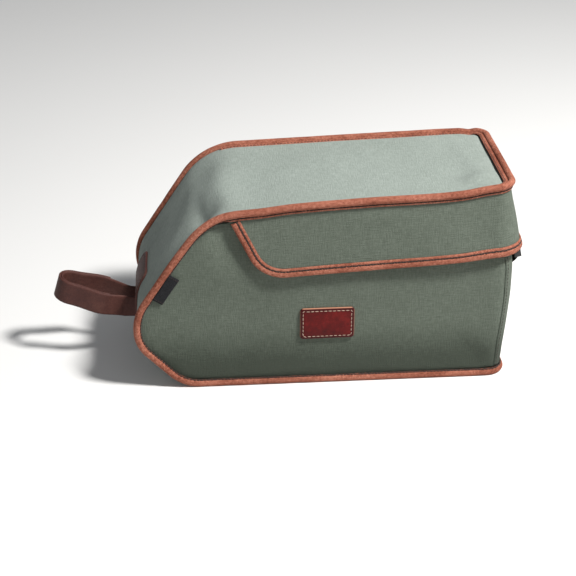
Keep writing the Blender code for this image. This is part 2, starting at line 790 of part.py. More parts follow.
def rear_line():
    # The lid's rear face in side view: its top, the way down along it and the way out of it.
    top = Vector((BAG_LENGTH - SKIRT_SET_BACK, 0.0, seam_height(BAG_LENGTH) - SKIRT_TOP))
    drop = SKIRT_DROP - SKIRT_TOP
    down = Vector((SKIRT_REAR_FLARE, 0.0, -drop)).normalized()
    out = Vector((-down.z, 0.0, down.x))
    return top, down, out, math.hypot(SKIRT_REAR_FLARE, drop)


def flat_strip(name, places, outs, material):
    frames = [(place, out, Vector((0.0, 1.0, 0.0))) for place, out in zip(places, outs)]
    half = (WEBBING_THICKNESS / 2.0, WEBBING_WIDTH / 2.0)
    profile = ((-half[0], -half[1]), (half[0], -half[1]), (half[0], half[1]), (-half[0], half[1]))
    return sweep_solid(name, frames, profile, material, False)


def make_upper_webbing(material):
    top, down, out, length = rear_line()
    low = CLEARANCE + WEBBING_THICKNESS / 2.0
    high = low + CLEARANCE + BINDING_THICKNESS
    step = length - BINDING_WIDTH
    raised = step - CLEARANCE * 4.0
    marks = ((WEBBING_START, low), (raised - WEBBING_STEP_UP, low), (raised, high), (length + BUCKLE_GAP, high))
    places = [top + down * along + out * lift for along, lift in marks]
    return flat_strip("webbing_upper", places, [out] * len(places), material)


def buckle_plate(name, first, size, outline, thickness, material):
    # A moulded plate: its outline is drawn across the bag and down the webbing, with chamfered faces.
    top, down, out, length = rear_line()
    middle = CLEARANCE * 2.0 + BINDING_THICKNESS + WEBBING_THICKNESS / 2.0
    chamfer = thickness * BUCKLE_CHAMFER_SHARE
    layers = []
    for lift, shrink in ((-0.5, 1.0), (-0.5, 0.0), (0.5, 0.0), (0.5, 1.0)):
        height = thickness * lift - math.copysign(chamfer * (1.0 - shrink), lift)
        layer = []
        for across, along in outline:
            wide = across * BUCKLE_WIDTH - math.copysign(chamfer, across) * shrink
            far = first + mix(along, 0.5, BUCKLE_END_SHARE * shrink) * size
            place = top + down * (length + far) + out * (middle + height)
            layer.append(Vector((place.x, wide, place.z)))
        layers.append(layer)
    count = len(outline)
    vertices = [p for layer in layers for p in layer]
    faces = [tuple(range(count)), tuple(range(3 * count, 4 * count))]
    for r in range(3):
        for i in range(count):
            j = (i + 1) % count
            faces.append((r * count + i, r * count + j, (r + 1) * count + j, (r + 1) * count + i))
    return make_object(name, vertices, faces, material)


def make_buckle(material):
    male = ((-0.40, 0.0), (0.40, 0.0), (0.43, 0.35), (0.43, 1.0), (-0.43, 1.0), (-0.43, 0.35))
    female = (
        (-0.50, 0.0), (0.50, 0.0), (0.50, 0.16), (0.42, 0.26), (0.42, 0.52), (0.50, 0.62),
        (0.44, 1.0), (-0.44, 1.0), (-0.50, 0.62), (-0.42, 0.52), (-0.42, 0.26), (-0.50, 0.16),
    )
    first = BUCKLE_GAP + CLEARANCE
    male_thickness = BUCKLE_THICKNESS * MALE_THICKNESS_SHARE
    second = first + MALE_LENGTH + CLEARANCE
    buckle_plate("buckle_male", first, MALE_LENGTH, male, male_thickness, material)
    buckle_plate("buckle_female", second, FEMALE_LENGTH, female, BUCKLE_THICKNESS, material)


def make_lower_webbing(material):
    top, down, out, length = rear_line()
    middle = CLEARANCE * 2.0 + BINDING_THICKNESS + WEBBING_THICKNESS / 2.0
    end = length + BUCKLE_GAP + MALE_LENGTH + FEMALE_LENGTH + CLEARANCE * 3.0
    first = top + down * end + out * middle
    rest = CLEARANCE + WEBBING_THICKNESS / 2.0
    landing = first.z - WEBBING_WIDTH
    places = [first]
    for k in range(1, WEBBING_STEPS + 1):
        z = mix(first.z, landing, k / WEBBING_STEPS)
        places.append(Vector((mix(first.x, wall_rear(z) + rest, ease(k / WEBBING_STEPS)), 0.0, z)))
    for k in range(1, WEBBING_STEPS + 1):
        z = mix(landing, LOWER_WEBBING_END, k / WEBBING_STEPS)
        places.append(Vector((wall_rear(z) + rest, 0.0, z)))
    outs = [out]
    for i in range(1, len(places)):
        way = (places[min(i + 1, len(places) - 1)] - places[i - 1]).normalized()
        outs.append(Vector((-way.z, 0.0, way.x)))
    return flat_strip("webbing_lower", places, outs, material)


def centre_on_floor():
    # Puts the middle of the whole bag's footprint at the origin, with its lowest point on the floor.
    points = [item.matrix_world @ v.co for item in bpy.data.objects for v in item.data.vertices]
    low = [min(p[axis] for p in points) for axis in range(3)]
    high = [max(p[axis] for p in points) for axis in range(3)]
    shift = Vector((-(low[0] + high[0]) / 2.0, -(low[1] + high[1]) / 2.0, -low[2]))
    for item in bpy.data.objects:
        item.location = shift


for old in list(bpy.data.objects):
    bpy.data.objects.remove(old)

SKIRT_TOP = PIPE_RADIUS + CLEARANCE
BUCKLE_GAP = BINDING_THICKNESS * 2.0
OUTLINE = side_outline()
STRIP_START = OUTLINE[1][0] + PANEL_JOINT
SKIRT_EDGE = skirt_edge_points()

canvas = make_material("sage_canvas", (0.16, 0.19, 0.15), 0.92)
tan_leather = make_material("tan_faux_leather", (0.42, 0.14, 0.07), 0.55)
patch_leather = make_material("red_brown_leather", (0.16, 0.02, 0.012), 0.38)
strap_brown = make_material("dark_brown_strap", (0.075, 0.018, 0.012), 0.6)
black_web = make_material("black_webbing", (0.01, 0.01, 0.011), 0.8)
black_plastic = make_material("black_plastic", (0.012, 0.012, 0.013), 0.4)

make_bottom_panel(canvas)
make_front_top_panel(canvas)
make_side_panel("side_panel_left", -1.0, canvas)
make_side_panel("side_panel_right", 1.0, canvas)
make_rear_panel(canvas)
make_lid_skirt(canvas)
make_edge_piping(tan_leather)
make_lid_binding(tan_leather)
make_patch(patch_leather)
make_tab(black_web)
make_anchor(strap_brown)
make_strap("strap_outer", STRAP_THICKNESS / 2.0, 1.0, strap_brown)
make_strap("strap_inner", STRAP_THICKNESS * 1.5 + CLEARANCE, -1.0, strap_brown)
make_upper_webbing(black_web)
make_buckle(black_plastic)
make_lower_webbing(black_web)
bpy.context.view_layer.update()
centre_on_floor()
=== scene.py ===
import math

import bmesh
import bpy
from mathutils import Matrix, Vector, noise


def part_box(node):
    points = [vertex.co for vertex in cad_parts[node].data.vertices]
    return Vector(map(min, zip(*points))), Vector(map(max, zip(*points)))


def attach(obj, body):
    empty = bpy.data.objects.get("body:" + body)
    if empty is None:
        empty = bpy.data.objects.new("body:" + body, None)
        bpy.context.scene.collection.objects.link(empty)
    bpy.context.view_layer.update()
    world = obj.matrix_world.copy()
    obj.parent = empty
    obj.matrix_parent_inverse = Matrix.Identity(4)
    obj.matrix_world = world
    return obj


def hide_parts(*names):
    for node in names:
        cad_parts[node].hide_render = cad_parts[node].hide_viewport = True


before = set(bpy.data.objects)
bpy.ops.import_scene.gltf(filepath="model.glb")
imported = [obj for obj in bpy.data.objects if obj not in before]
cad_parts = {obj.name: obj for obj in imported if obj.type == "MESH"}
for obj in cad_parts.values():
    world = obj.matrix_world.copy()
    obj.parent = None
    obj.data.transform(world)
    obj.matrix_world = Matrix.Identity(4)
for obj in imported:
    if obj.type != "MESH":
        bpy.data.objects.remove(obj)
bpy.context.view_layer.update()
print("frame loaded with", len(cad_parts), "nodes")

# the bag's own sizes in metres, as the solids have them
bag = {
    "length": 0.3755,
    "height": 0.2045,
    "halfWidth": 0.085,
    "cloth": 0.0026,
    "gap": 0.0003,
    "footRadius": 0.017,
    "lidRadius": 0.017,
    "arcStep": math.radians(2.5),
    "cornerStep": math.radians(6.0),
    "bottomMeets": 0.005,
    "runStep": 0.005,
}
piping = {
    "lidFrom": 0.085,
    "lidRun": 0.014,
    "flangeHidden": 0.0006,
    "radius": 0.0034,
    "roll": 0.0036,
    "flange": 0.0029,
    "flangeThickness": 0.001,
    "sewnAt": 0.26,
    "sides": 22,
}
outlineCorners = (
    {"name": "rearFoot", "along": 1.0, "up": 0.0, "fillet": 0.0},
    {"name": "keel", "along": 0.121, "up": 0.0, "fillet": 0.186},
    {"name": "noseLow", "along": 0.0, "up": 0.232, "fillet": 0.181},
    {"name": "noseHigh", "along": 0.0, "up": 0.390, "fillet": 0.245},
    {"name": "bend", "along": 0.197, "up": 0.941, "fillet": 0.352},
    {"name": "rearTop", "along": 1.0, "up": 1.0, "fillet": 0.0},
)
lidWidths = ((0.197, 1.0), (0.600, 0.976), (0.860, 0.953), (1.0, 0.918))
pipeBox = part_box("edge_piping")
shift = Vector((pipeBox[0].x + piping["radius"], 0.0, piping["radius"]))


def mix(a, b, share):
    return a + (b - a) * share


def ease(value):
    t = min(max(value, 0.0), 1.0)
    return t * t * (3.0 - 2.0 * t)


def bell(value):  # a bell of height 1 and half width 1
    return math.exp(-value * value)


def readTable(rows, at):
    if at <= rows[0][0]:
        return rows[0][1]
    for low, high in zip(rows, rows[1:]):
        if at <= high[0]:
            return mix(low[1], high[1], (at - low[0]) / (high[0] - low[0]))
    return rows[-1][1]


def wave(point, scale, seed=0.0):  # soft unevenness between -1 and 1
    place = Vector((point.x * scale + seed, point.y * scale - seed, point.z * scale + seed * 2.0))
    return noise.noise(place)


def mirrored(vector):
    return Vector((vector.x, -vector.y, vector.z))


# how far the soft top has settled at the near and far edge, in metres, by share of the length
nearSettle = (
    (0.08, 0.0), (0.14, -0.0030), (0.22, -0.0030), (0.28, -0.0045), (0.34, -0.0040), (0.42, -0.0018),
    (0.62, -0.0010), (0.78, -0.0020), (0.87, -0.0012), (0.93, 0.0014), (1.0, 0.0030),
)
farSettle = ((0.08, 0.0), (0.20, -0.0008), (0.60, -0.0010), (1.0, -0.0010))
farPinch = {"along": 0.955, "y": 0.077, "reach": 0.0058, "spread": 0.012, "depth": 0.0019}
settleHeights = (0.45, 0.45)  # where it begins, and how far up it takes to be whole


def smoothTable(rows, at):  # a smooth curve through the rows
    at = min(max(at, rows[0][0]), rows[-1][0])
    k = next(i for i in range(1, len(rows)) if at <= rows[i][0])
    ends = [rows[max(k - 2, 0)], rows[k - 1], rows[k], rows[min(k + 1, len(rows) - 1)]]
    span = ends[2][0] - ends[1][0]
    t = (at - ends[1][0]) / span
    slopes = [(b[1] - a[1]) / max(b[0] - a[0], 0.001) * span for a, b in zip(ends, ends[2:])]
    turn = ends[1][1] - ends[2][1]
    cubic = (2.0 * turn + slopes[0] + slopes[1]) * t ** 3
    return cubic - (3.0 * turn + 2.0 * slopes[0] + slopes[1]) * t * t + slopes[0] * t + ends[1][1]


def settled(point):  # where a point of the bag lies in the frame once the soft top has settled
    near = (1.0 - point.y / bag["halfWidth"]) / 2.0
    along = point.x / bag["length"]
    free = ease((point.z / bag["height"] - settleHeights[0]) / settleHeights[1])
    lift = near * smoothTable(nearSettle, along) + (1.0 - near) * smoothTable(farSettle, along)
    notch = bell((point.x - farPinch["along"] * bag["length"]) / farPinch["reach"])
    lift -= farPinch["depth"] * notch * bell((point.y - farPinch["y"]) / farPinch["spread"])
    return Vector((point.x, point.y, point.z + lift * free)) + shift


# the bag's side outline and its seams
def sideOutline():
    corners = [Vector((row["along"] * bag["length"], row["up"] * bag["height"])) for row in outlineCorners]
    points = [corners[0]]
    for before, here, after, row in zip(corners, corners[1:], corners[2:], outlineCorners[1:]):
        wayIn = (here - before).normalized()
        wayOut = (after - here).normalized()
        turn = math.acos(max(-1.0, min(1.0, wayIn.dot(wayOut))))
        radius = row["fillet"] * bag["height"]
        start = here - wayIn * radius * math.tan(turn / 2.0)
        inward = Vector((wayIn.y, -wayIn.x))
        hub = start + inward * radius
        steps = max(2, math.ceil(turn / bag["arcStep"]))
        for k in range(steps + 1):
            angle = turn * k / steps
            points.append(hub - inward * radius * math.cos(angle) + wayIn * radius * math.sin(angle))
    return points + [corners[-1]]


def addSteps(points, step):
    finer = [points[0]]
    for a, b in zip(points, points[1:]):
        cuts = max(1, math.ceil((b - a).length / step))
        finer += [a.lerp(b, k / cuts) for k in range(1, cuts + 1)]
    return finer


outline = sideOutline()
halfHeight = bag["height"] / 2.0
seamTop = piping["radius"] + bag["gap"]


def seamHeight(x):
    top = [p for p in outline if p.y > halfHeight]
    for a, b in zip(top, top[1:]):
        if x <= b.x:
            return mix(a.y, b.y, max(0.0, (x - a.x) / (b.x - a.x)))
    return top[-1].y


def noseX(z):
    front = [p for p in outline if p.x < bag["length"] * 0.3]
    for a, b in zip(front, front[1:]):
        if a.y <= z <= b.y and b.y > a.y:
            return mix(a.x, b.x, (z - a.y) / (b.y - a.y))
    return front[-1].x


def seamHalf(x, z):
    if z < halfHeight:
        return bag["halfWidth"]
    return bag["halfWidth"] * readTable(lidWidths, x / bag["length"])


def runBetween(firstX, lastX):
    run = [Vector((firstX, 0.0))] + outline[1:-1] + [Vector((lastX, seamHeight(lastX)))]
    points = addSteps(run, bag["runStep"])
    stations = []
    for i, p in enumerate(points):
        way = (points[min(i + 1, len(points) - 1)] - points[max(i - 1, 0)]).normalized()
        stations.append((p.x, p.y, -way.y, way.x))
    return stations


def quarterTurn():
    steps = math.ceil(math.pi / 2.0 / bag["cornerStep"])
    return [math.pi / 2.0 * k / steps for k in range(1, steps + 1)]


def cornerFrame(hubX, half, radius, angle, up):
    out = Vector((math.sin(angle), -math.cos(angle), 0.0))
    point = Vector((hubX, radius - half, 0.0)) + out * radius
    point.z = seamHeight(point.x) if up > 0.0 else 0.0
    return point, out, Vector((0.0, 0.0, up))


def seamLoop():  # the piped seam as point, way out of the side and way out of the long strip
    startX = bag["length"] - bag["footRadius"]
    endX = bag["length"] - bag["lidRadius"]
    side = Vector((0.0, -1.0, 0.0))
    half = []
    for x, z, nx, nz in runBetween(startX, endX):
        half.append((Vector((x, -seamHalf(x, z), z)), side, Vector((nx, 0.0, nz))))
    for angle in quarterTurn():
        half.append(cornerFrame(endX, seamHalf(endX, bag["height"]), bag["lidRadius"], angle, 1.0))
    foot = [cornerFrame(startX, bag["halfWidth"], bag["footRadius"], angle, -1.0)
            for angle in quarterTurn()]
    half = foot[::-1] + half
    other = [(mirrored(p), mirrored(b), mirrored(n)) for p, b, n in reversed(half)]
    return half + addRearRun(half[-1], other[0]) + other + addRearRun(other[-1], half[0])


def addRearRun(first, last):
    cuts = max(2, math.ceil((last[0] - first[0]).length / bag["runStep"]))
    return [(first[0].lerp(last[0], k / cuts), first[1], first[2]) for k in range(1, cuts)]


# helpers that make meshes
def newObject(name, mesh):
    made = bpy.data.objects.new(name, mesh)
    bpy.context.scene.collection.objects.link(made)
    return made


def gridObject(name, rows, uvRows, outFrom=None):
    # a skin through rows of points; rows that meet are sewn together, and the skin faces away from outFrom
    shape = bmesh.new()
    layer = shape.loops.layers.uv.new("cloth")
    verts = [[shape.verts.new(settled(p)) for p in row] for row in rows]
    for r in range(len(rows) - 1):
        for c in range(len(rows[0]) - 1):
            corners = ((r, c), (r, c + 1), (r + 1, c + 1), (r + 1, c))
            face = shape.faces.new([verts[i][j] for i, j in corners])
            for loop, (i, j) in zip(face.loops, corners):
                loop[layer].uv = uvRows[i][j]
    bmesh.ops.remove_doubles(shape, verts=shape.verts, dist=0.000004)
    bmesh.ops.dissolve_degenerate(shape, edges=shape.edges, dist=0.000001)
    shape.normal_update()
    if outFrom is not None:
        centre = outFrom + shift
        lean = sum(f.normal.dot(f.calc_center_median() - centre) * f.calc_area() for f in shape.faces)
        if lean < 0.0:
            bmesh.ops.reverse_faces(shape, faces=shape.faces)
    mesh = bpy.data.meshes.new(name)
    shape.to_mesh(mesh)
    shape.free()
    mesh.shade_smooth()
    return newObject(name, mesh)


def sweepObject(name, frames, profile, closed):
    # a profile, or one for each frame, carried along frames of point, across and along; its UV is in metres
    sections = profile if isinstance(profile[0], list) else [profile] * len(frames)
    ring = sections[0] + sections[0][:1]
    girth = [0.0]
    for a, b in zip(ring, ring[1:]):
        girth.append(girth[-1] + math.dist(a, b))
    line = frames + frames[:1] if closed else frames
    rows = []
    uvRows = []
    run = 0.0
    for i, (point, across, along) in enumerate(line):
        if i:
            run += (point - line[i - 1][0]).length
        section = sections[i % len(sections)]
        rows.append([point + across * a + along * b for a, b in section + section[:1]])
        uvRows.append([(run, v) for v in girth])
    made = gridObject(name, rows, uvRows)
    shape = bmesh.new()
    shape.from_mesh(made.data)
    if not closed:
        edges = [e for e in shape.edges if len(e.link_faces) == 1]
        bmesh.ops.holes_fill(shape, edges=edges, sides=0)
    bmesh.ops.recalc_face_normals(shape, faces=shape.faces)
    shape.to_mesh(made.data)
    shape.free()
    made.data.shade_smooth()
    made.data.set_sharp_from_angle(angle=math.radians(50.0))
    return made


def solidify(made, thickness):
    wall = made.modifiers.new("wall", "SOLIDIFY")
    wall.thickness = thickness
    wall.offset = -1.0
    wall.use_even_offset = False
    return made


def bevel(made, width, segments=2, angle=35.0):
    soft = made.modifiers.new("soft edges", "BEVEL")
    soft.width = width
    soft.segments = segments
    soft.limit_method = "ANGLE"
    soft.angle_limit = math.radians(angle)
    return made


def declareCloth(made, width, length):
    # measures the panel's flat area on its own skin, before it gets its thickness, and keeps nothing of it
    area = sum(face.area for face in made.data.polygons)
    min(area, width * length)


def settle(made, material, nodes=()):
    made.data.materials.clear()
    made.data.materials.append(material)
    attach(made, "root")
    if nodes:
        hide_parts(*nodes)
    return made


# materials; a wire stands for a socket, so that shader maths reads like plain sums
class Wire:
    def __init__(self, paint, socket):
        self.paint = paint
        self.socket = socket

    def maths(self, operation, *others, flip=False):
        values = [self, *others]
        if flip:
            values.reverse()
        made = self.paint.node("ShaderNodeMath", {"operation": operation}, dict(enumerate(values)))
        return Wire(self.paint, made.outputs[0])

    def __add__(self, other):
        return self.maths("ADD", other)

    def __radd__(self, other):
        return self.maths("ADD", other, flip=True)

    def __sub__(self, other):
        return self.maths("SUBTRACT", other)

    def __rsub__(self, other):
        return self.maths("SUBTRACT", other, flip=True)

    def __mul__(self, other):
        return self.maths("MULTIPLY", other)

    def __rmul__(self, other):
        return self.maths("MULTIPLY", other, flip=True)

    def __truediv__(self, other):
        return self.maths("DIVIDE", other)

    def __rtruediv__(self, other):
        return self.maths("DIVIDE", other, flip=True)

    def __mod__(self, other):
        return self.maths("FLOORED_MODULO", other)

    def __pow__(self, other):
        return self.maths("POWER", other)

    def floor(self):
        return self.maths("FLOOR")

    def sin(self):
        return self.maths("SINE")

    def size(self):
        return self.maths("ABSOLUTE")

    def least(self, other):
        return self.maths("MINIMUM", other)

    def most(self, other):
        return self.maths("MAXIMUM", other)

    def smooth(self, low, high):
        sockets = {"Value": self, "From Min": low, "From Max": high}
        made = self.paint.node("ShaderNodeMapRange", {"interpolation_type": "SMOOTHSTEP"}, sockets)
        return Wire(self.paint, made.outputs[0])


class Paint:
    def __init__(self, name, fixed):
        self.material = bpy.data.materials.new(name)
        self.material.use_nodes = True
        self.tree = self.material.node_tree
        self.shader = self.tree.nodes["Principled BSDF"]
        for socket, value in fixed.items():
            self.shader.inputs[socket].default_value = value

    def node(self, kind, settings=None, sockets=None):
        made = self.tree.nodes.new(kind)
        for key, value in (settings or {}).items():
            if key == "stops":
                self.setStops(made.color_ramp, value)
            else:
                setattr(made, key, value)
        for key, value in (sockets or {}).items():
            self.feed(made.inputs[key], value)
        return made

    def setStops(self, ramp, stops):
        while len(ramp.elements) < len(stops):
            ramp.elements.new(1.0)
        for element, (place, colour) in zip(ramp.elements, stops):
            element.position = place
            element.color = (*colour, 1.0)

    def feed(self, socket, value):
        if isinstance(value, Wire):
            self.tree.links.new(value.socket, socket)
        else:
            socket.default_value = value

    def uv(self):
        made = self.node("ShaderNodeUVMap", {"uv_map": "cloth"})
        return Wire(self, made.outputs[0])

    def objectPlace(self):
        made = self.node("ShaderNodeTexCoord")
        return Wire(self, made.outputs["Object"])

    def parts(self, vector):
        made = self.node("ShaderNodeSeparateXYZ", None, {0: vector})
        return [Wire(self, socket) for socket in made.outputs]

    def vector(self, x, y, z=0.0):
        made = self.node("ShaderNodeCombineXYZ", None, {0: x, 1: y, 2: z})
        return Wire(self, made.outputs[0])

    def noise(self, place, scale, detail=2.0, roughness=0.5):
        sockets = {"Vector": place, "Scale": scale, "Detail": detail, "Roughness": roughness}
        made = self.node("ShaderNodeTexNoise", None, sockets)
        return Wire(self, made.outputs[0])

    def cells(self, place, scale, feature="F1", output="Distance"):
        made = self.node("ShaderNodeTexVoronoi", {"feature": feature}, {"Vector": place, "Scale": scale})
        return Wire(self, made.outputs[output])

    def ramp(self, value, stops):
        made = self.node("ShaderNodeValToRGB", {"stops": stops}, {0: value})
        return Wire(self, made.outputs[0])

    def blend(self, share, a, b, kind="MIX"):
        colours = {6: a if isinstance(a, Wire) else (*a, 1.0), 7: b if isinstance(b, Wire) else (*b, 1.0)}
        made = self.node("ShaderNodeMix", {"data_type": "RGBA", "blend_type": kind}, {0: share, **colours})
        return Wire(self, made.outputs[2])

    def bump(self, height, strength, distance, under=None):
        sockets = {"Height": height, "Strength": strength, "Distance": distance}
        if under is not None:
            sockets["Normal"] = under
        made = self.node("ShaderNodeBump", None, sockets)
        return Wire(self, made.outputs[0])

    def done(self, **fed):
        names = {"colour": "Base Color", "roughness": "Roughness", "normal": "Normal"}
        for key, value in fed.items():
            self.feed(self.shader.inputs[names[key]], value)
        return self.material


def weave(paint, pitch, wander, slub):
    # over-and-under threads that wander a little and swell along their length
    u, v, _ = paint.parts(paint.uv())
    place = paint.uv()
    across = u / pitch + (paint.noise(place, 70.0) - 0.5) * wander
    down = v / pitch + (paint.noise(paint.vector(u + 3.1, v - 1.7), 70.0) - 0.5) * wander
    column = across.floor()
    row = down.floor()
    du = across - column - 0.5
    dv = down - row - 0.5
    over = (column + row) % 2.0
    crownU = 1.0 - du * du * 4.0
    crownV = 1.0 - dv * dv * 4.0
    warpSlub = paint.noise(paint.vector(column * 1.73, v * slub), 1.0, 3.0)
    weftSlub = paint.noise(paint.vector(u * slub, row * 1.91, 7.0), 1.0, 3.0)
    tone = warpSlub * over + weftSlub * (1.0 - over)
    warp = crownU * (0.5 + 0.5 * crownV)
    weft = crownV * (0.5 + 0.5 * crownU)
    height = (warp * over + weft * (1.0 - over)) * (0.55 + tone * 0.9)
    return height, tone


def canvasCloth(name, look):
    paint = Paint(name, {"Sheen Weight": look["sheen"], "Sheen Roughness": 0.6, "Specular IOR Level": 0.08})
    height, tone = weave(paint, look["pitch"], 0.9, 210.0)
    u, v, _ = paint.parts(paint.uv())
    warp = paint.noise(paint.vector(u * 880.0, v * 100.0), 1.0, 2.0, 0.6)
    weft = paint.noise(paint.vector(u * 100.0, v * 880.0, 5.0), 1.0, 2.0, 0.6)
    linen = warp.smooth(0.30, 0.72) * 0.5 + weft.smooth(0.30, 0.72) * 0.5
    place = paint.objectPlace()
    cloud = paint.noise(place, 11.0, 4.0, 0.6)
    dust = paint.noise(place, 160.0, 3.0, 0.7)
    shade = linen * 0.30 + tone * 0.16 + height * 0.16 + dust * 0.12 + (cloud - 0.5) * 0.26 + 0.10
    # painted shade: the colour is darkened towards the bottom of each panel, near the floor
    _, _, up = paint.parts(place)
    shade = shade - (1.0 - up.smooth(0.008, 0.075)) * look["paintedFootShade"]
    colour = paint.ramp(shade, look["stops"])
    normal = paint.bump(height * 0.5 + linen * 0.9 + dust * 0.3, look["bump"], 0.0007)
    roughness = 0.84 + cloud * 0.12
    return paint.done(colour=colour, roughness=roughness, normal=normal)


def tanTrim(name, look):
    paint = Paint(name, {"Specular IOR Level": 0.10})
    height, tone = weave(paint, look["pitch"], 0.5, 300.0)
    u, v, _ = paint.parts(paint.uv())
    wander = paint.noise(paint.uv(), 120.0, 2.0)
    rib = ((u + v * look["twill"] + wander * 0.0012) * (math.tau / look["ribPitch"])).sin() * 0.5 + 0.5
    place = paint.objectPlace()
    cloud = paint.noise(place, 30.0, 4.0, 0.6)
    rub = paint.noise(place, 420.0, 2.0, 0.6)
    speck = rib * 0.24 + height * 0.20 + tone * 0.40 + (cloud - 0.5) * 0.5 + rub * 0.55
    shade = (speck - 0.72) * 1.7 + 0.5
    colour = paint.ramp(shade, look["stops"])
    normal = paint.bump(rib * 0.9 + height * 0.5 + rub * 0.5, look["bump"], 0.0006)
    return paint.done(colour=colour, roughness=0.74 - height * 0.16, normal=normal)


def strapLeather(name, look):
    paint = Paint(name, {"Specular IOR Level": 0.35})
    place = paint.objectPlace()
    grain = paint.cells(place, 900.0)
    pores = paint.cells(place, 420.0, "DISTANCE_TO_EDGE")
    cloud = paint.noise(place, 30.0, 5.0, 0.62)
    wear = paint.noise(place, 130.0, 4.0, 0.7)
    shade = cloud * 0.6 + wear * 0.35 + grain * 0.2
    colour = paint.ramp(shade, look["stops"])
    height = grain * 0.5 + pores.smooth(0.0, 0.12) * 0.5 + wear * 0.4
    normal = paint.bump(height, look["bump"], 0.0005)
    return paint.done(colour=colour, roughness=0.5 + wear * 0.22, normal=normal)


def patchHide(name, look):
    # polished hide: darker towards its pressed border, pale where its cut edge is raw
    paint = Paint(name, {"Specular IOR Level": 0.14, "Coat Weight": 0.05, "Coat Roughness": 0.2})
    u, v, _ = paint.parts(paint.uv())
    place = paint.objectPlace()
    inside = (look["half"][0] - u.size()).least(look["half"][1] - v.size())
    cloud = paint.noise(place, 45.0, 5.0, 0.6)
    grain = paint.cells(place, 1100.0)
    wrinkle = paint.noise(place, 260.0, 4.0, 0.7)
    body = paint.ramp(cloud * 0.65 + wrinkle * 0.35, look["stops"])
    pressed = paint.blend(inside.smooth(0.0012, 0.0055), look["border"], body)
    colour = paint.blend(inside.smooth(-0.0002, 0.0006), look["rawEdge"], pressed)
    normal = paint.bump(grain * 0.5 + wrinkle * 0.9, 0.35, 0.0004)
    roughness = 0.30 + wrinkle * 0.22 + (1.0 - inside.smooth(-0.0002, 0.0008)) * 0.35
    return paint.done(colour=colour, roughness=roughness, normal=normal)


def webbingWeave(name, look):
    paint = Paint(name, {"Sheen Weight": 0.03, "Specular IOR Level": 0.1})
    height, tone = weave(paint, look["pitch"], 0.25, 400.0)
    place = paint.objectPlace()
    fluff = paint.noise(place, 700.0, 3.0, 0.7)
    colour = paint.ramp(height * 0.6 + tone * 0.3 + fluff * 0.2, look["stops"])
    normal = paint.bump(height + fluff * 0.3, 0.7, 0.0007)
    return paint.done(colour=colour, roughness=0.72 + fluff * 0.2, normal=normal)


def mouldedPlastic(name, look):
    paint = Paint(name, {"Specular IOR Level": 0.45})
    place = paint.objectPlace()
    skin = paint.noise(place, 1800.0, 3.0, 0.6)
    scuff = paint.noise(place, 90.0, 5.0, 0.7)
    colour = paint.ramp(scuff, look["stops"])
    normal = paint.bump(skin, 0.18, 0.0003)
    return paint.done(colour=colour, roughness=0.34 + scuff * 0.22, normal=normal)


def sewingThread(name, look):
    paint = Paint(name, {"Specular IOR Level": 0.3, "Sheen Weight": 0.1})
    x, y, z = paint.parts(paint.objectPlace())
    twist = ((x + y * 0.7 + z * 0.9) * look["twist"]).sin()
    fluff = paint.noise(paint.objectPlace(), 900.0, 2.0)
    colour = paint.ramp(twist * 0.25 + fluff * 0.6 + 0.1, look["stops"])
    normal = paint.bump(twist * 0.5 + fluff, 0.5, 0.0002)
    return paint.done(colour=colour, roughness=0.62 + fluff * 0.2, normal=normal)


# the same sage canvas twice: the body's copy is darker and the top panel's copy lighter, painted shade on
# the sides and painted light on the top
canvas = canvasCloth("sageCanvas", {
    "pitch": 0.00105,
    "bump": 0.7,
    "sheen": 0.03,
    # painted shade near the floor, strong on the body's canvas
    "paintedFootShade": 0.60,
    "stops": ((0.0, (0.056, 0.067, 0.052)), (0.45, (0.109, 0.128, 0.102)), (1.0, (0.200, 0.229, 0.190))),
})
topCanvasPaintedLight = canvasCloth("sageCanvasPaintedTopLight", {
    "pitch": 0.00105,
    "bump": 0.6,
    "sheen": 0.03,
    "paintedFootShade": 0.10,
    "stops": ((0.0, (0.135, 0.158, 0.133)), (0.45, (0.254, 0.290, 0.262)), (1.0, (0.400, 0.446, 0.410))),
})
tan = tanTrim("tanImitationLeather", {
    "pitch": 0.00085,
    "bump": 0.8,
    "twill": 0.9,
    "ribPitch": 0.0017,
    "stops": ((0.0, (0.100, 0.026, 0.014)), (0.5, (0.325, 0.104, 0.064)), (1.0, (0.62, 0.27, 0.185))),
})
strapBrown = strapLeather("strapLeather", {
    "bump": 0.6,
    "stops": ((0.0, (0.020, 0.006, 0.005)), (0.5, (0.060, 0.017, 0.013)), (1.0, (0.15, 0.058, 0.042))),
})
patchBrown = patchHide("patchHide", {
    "half": (0.0275, 0.0175),
    "border": (0.045, 0.004, 0.004),
    "rawEdge": (0.50, 0.24, 0.15),
    "stops": ((0.25, (0.032, 0.001, 0.001)), (0.5, (0.092, 0.002, 0.002)), (0.8, (0.205, 0.010, 0.008))),
})
blackWeb = webbingWeave("blackWebbing", {
    "pitch": 0.0011,
    "stops": ((0.0, (0.003, 0.003, 0.0035)), (0.6, (0.014, 0.014, 0.016)), (1.0, (0.045, 0.045, 0.05))),
})
blackPlastic = mouldedPlastic("blackPlastic", {
    "stops": ((0.3, (0.008, 0.008, 0.009)), (0.7, (0.020, 0.020, 0.022))),
})
darkThread = sewingThread("darkThread", {
    "twist": 9000.0,
    "stops": ((0.0, (0.010, 0.006, 0.005)), (0.6, (0.035, 0.020, 0.016)), (1.0, (0.09, 0.055, 0.045))),
})
paleThread = sewingThread("paleThread", {
    "twist": 9000.0,
    "stops": ((0.0, (0.22, 0.13, 0.09)), (0.6, (0.48, 0.34, 0.26)), (1.0, (0.72, 0.60, 0.50))),
})
print("materials mixed")


# stitches: one small arch of thread repeated along a path by Geometry Nodes
def addSocket(tree, name, kind, value=None, direction="INPUT"):
    made = tree.interface.new_socket(name, in_out=direction, socket_type=kind)
    if value is not None:
        made.default_value = value
    return made.identifier


